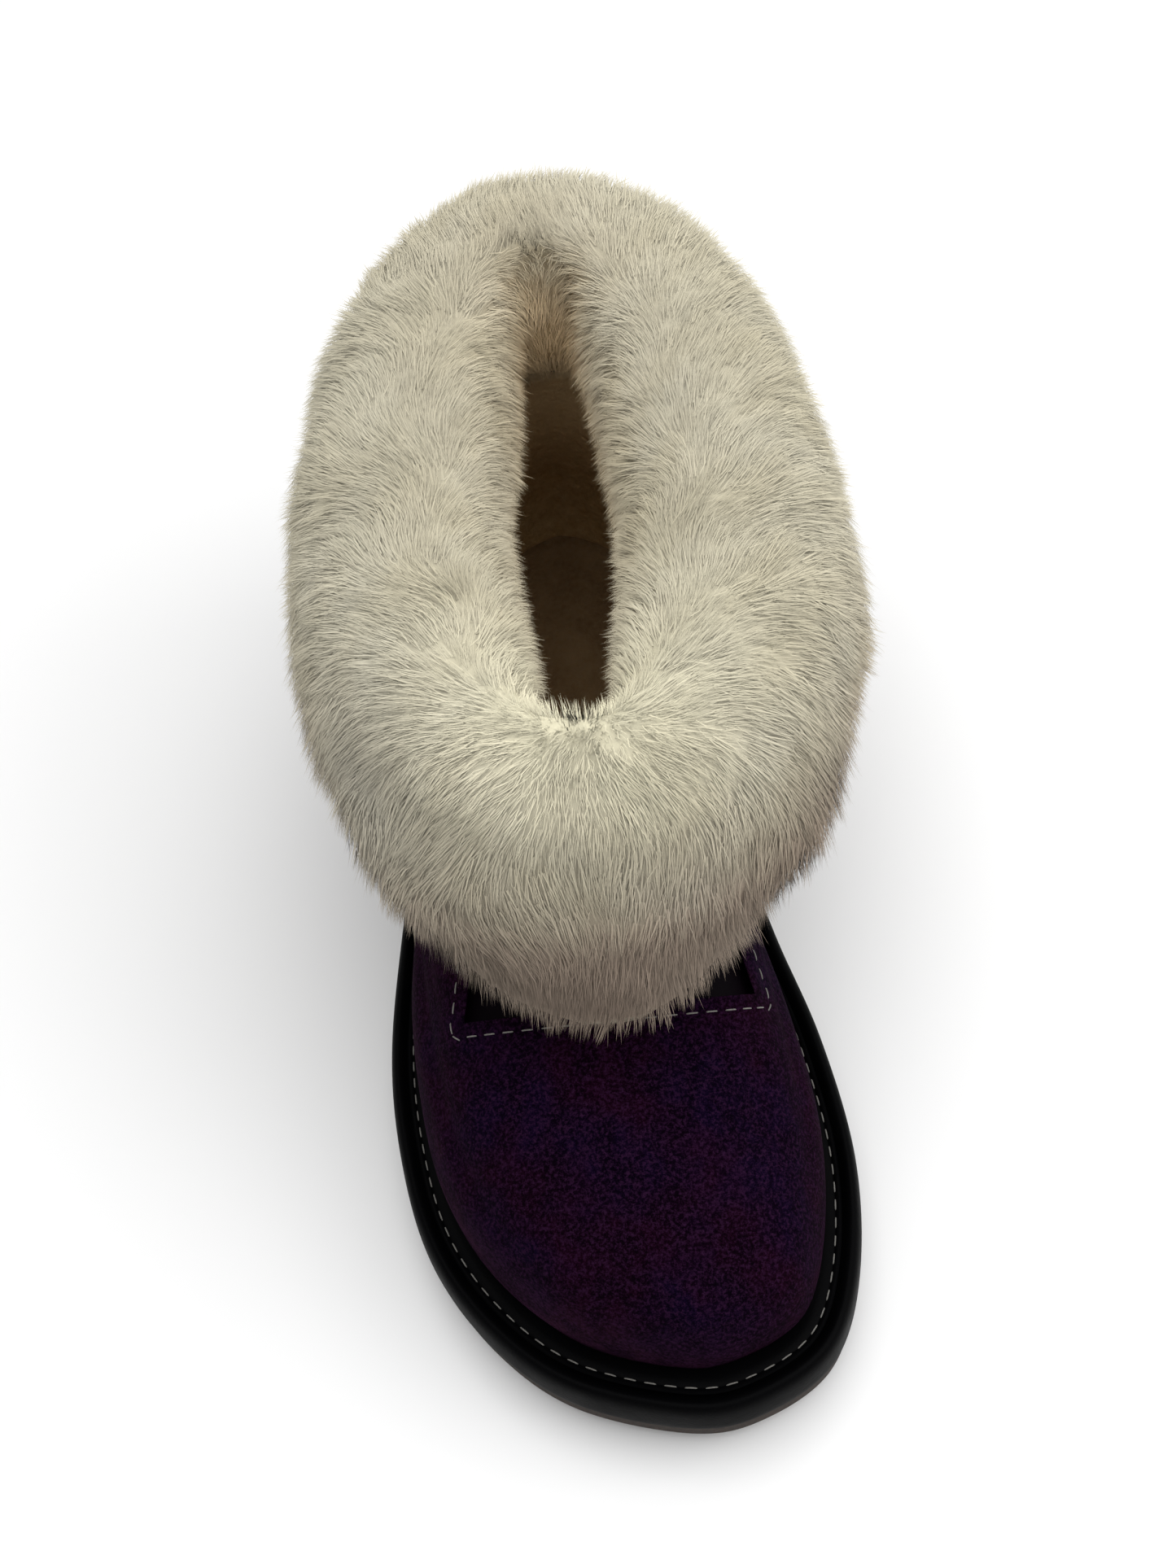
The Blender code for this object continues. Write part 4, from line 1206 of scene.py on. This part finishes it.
# Floor, light and camera
# A pale studio floor under a large soft overhead light and a weak one at the side, seen from above the
# toe at the photograph's angle. The focal length is given in pixels of the photograph's frame.
FLOOR_REACH = 3.0
floor_colour, tree, shader = plain_material("pale_floor", (0.95, 0.95, 0.95), 0.9)
corners = [(x * FLOOR_REACH, y * FLOOR_REACH, 0) for x, y in ((-1, -1), (1, -1), (1, 1), (-1, 1))]
floor = make_piece("floor", floor_colour, corners, [(0, 1, 2, 3)])


def soft_light(name, place, aim, size, power):
    """A broad lamp that shines from its place to what it aims at."""
    lamp = bpy.data.lights.new(name, "AREA")
    lamp.shape = "RECTANGLE"
    lamp.size, lamp.size_y = size
    lamp.energy = power
    made = bpy.data.objects.new(name, lamp)
    made.location = place
    made.rotation_euler = (Vector(aim) - Vector(place)).to_track_quat("-Z", "Y").to_euler()
    bpy.context.scene.collection.objects.link(made)


soft_light("overhead", (0.12, -0.02, 1.15), (0.0, -0.06, 0.06), (2.0, 1.9), 19)
soft_light("window", (0.9, -0.2, 0.7), (0.0, -0.1, 0.05), (0.8, 0.8), 3)
bpy.context.scene.view_settings.view_transform = "Standard"
world = bpy.data.worlds.new("studio")
world.use_nodes = True
world.node_tree.nodes["Background"].inputs["Color"].default_value = (1.0, 1.0, 1.0, 1.0)
world.node_tree.nodes["Background"].inputs["Strength"].default_value = 0.35
bpy.context.scene.world = world

EYE = Vector((19.2, -365.1, 422.8)) * MM
PHOTO_YAW, PHOTO_PITCH = math.radians(-7.35), math.radians(56.04)
AIM = Vector((0.004, -0.095, 0.060))
FRAME_PIXELS = 1927
FOCAL_PIXELS = 2450
back = Vector((
    math.sin(PHOTO_YAW) * math.cos(PHOTO_PITCH),
    -math.cos(PHOTO_YAW) * math.cos(PHOTO_PITCH),
    math.sin(PHOTO_PITCH),
))
right = Vector((0, 0, 1)).cross(back).normalized()
photo_view = Matrix((right, back.cross(right), back)).transposed()
to_shoe = (-back).rotation_difference(AIM - EYE).to_matrix()
lens = bpy.data.cameras.new("camera")
lens.sensor_fit = "VERTICAL"
lens.sensor_height = 36.0
lens.lens = lens.sensor_height * FOCAL_PIXELS / FRAME_PIXELS
lens.clip_start = 0.01
camera = bpy.data.objects.new("camera", lens)
camera.matrix_world = Matrix.Translation(EYE) @ (to_shoe @ photo_view).to_4x4()
bpy.context.scene.collection.objects.link(camera)
bpy.context.scene.camera = camera
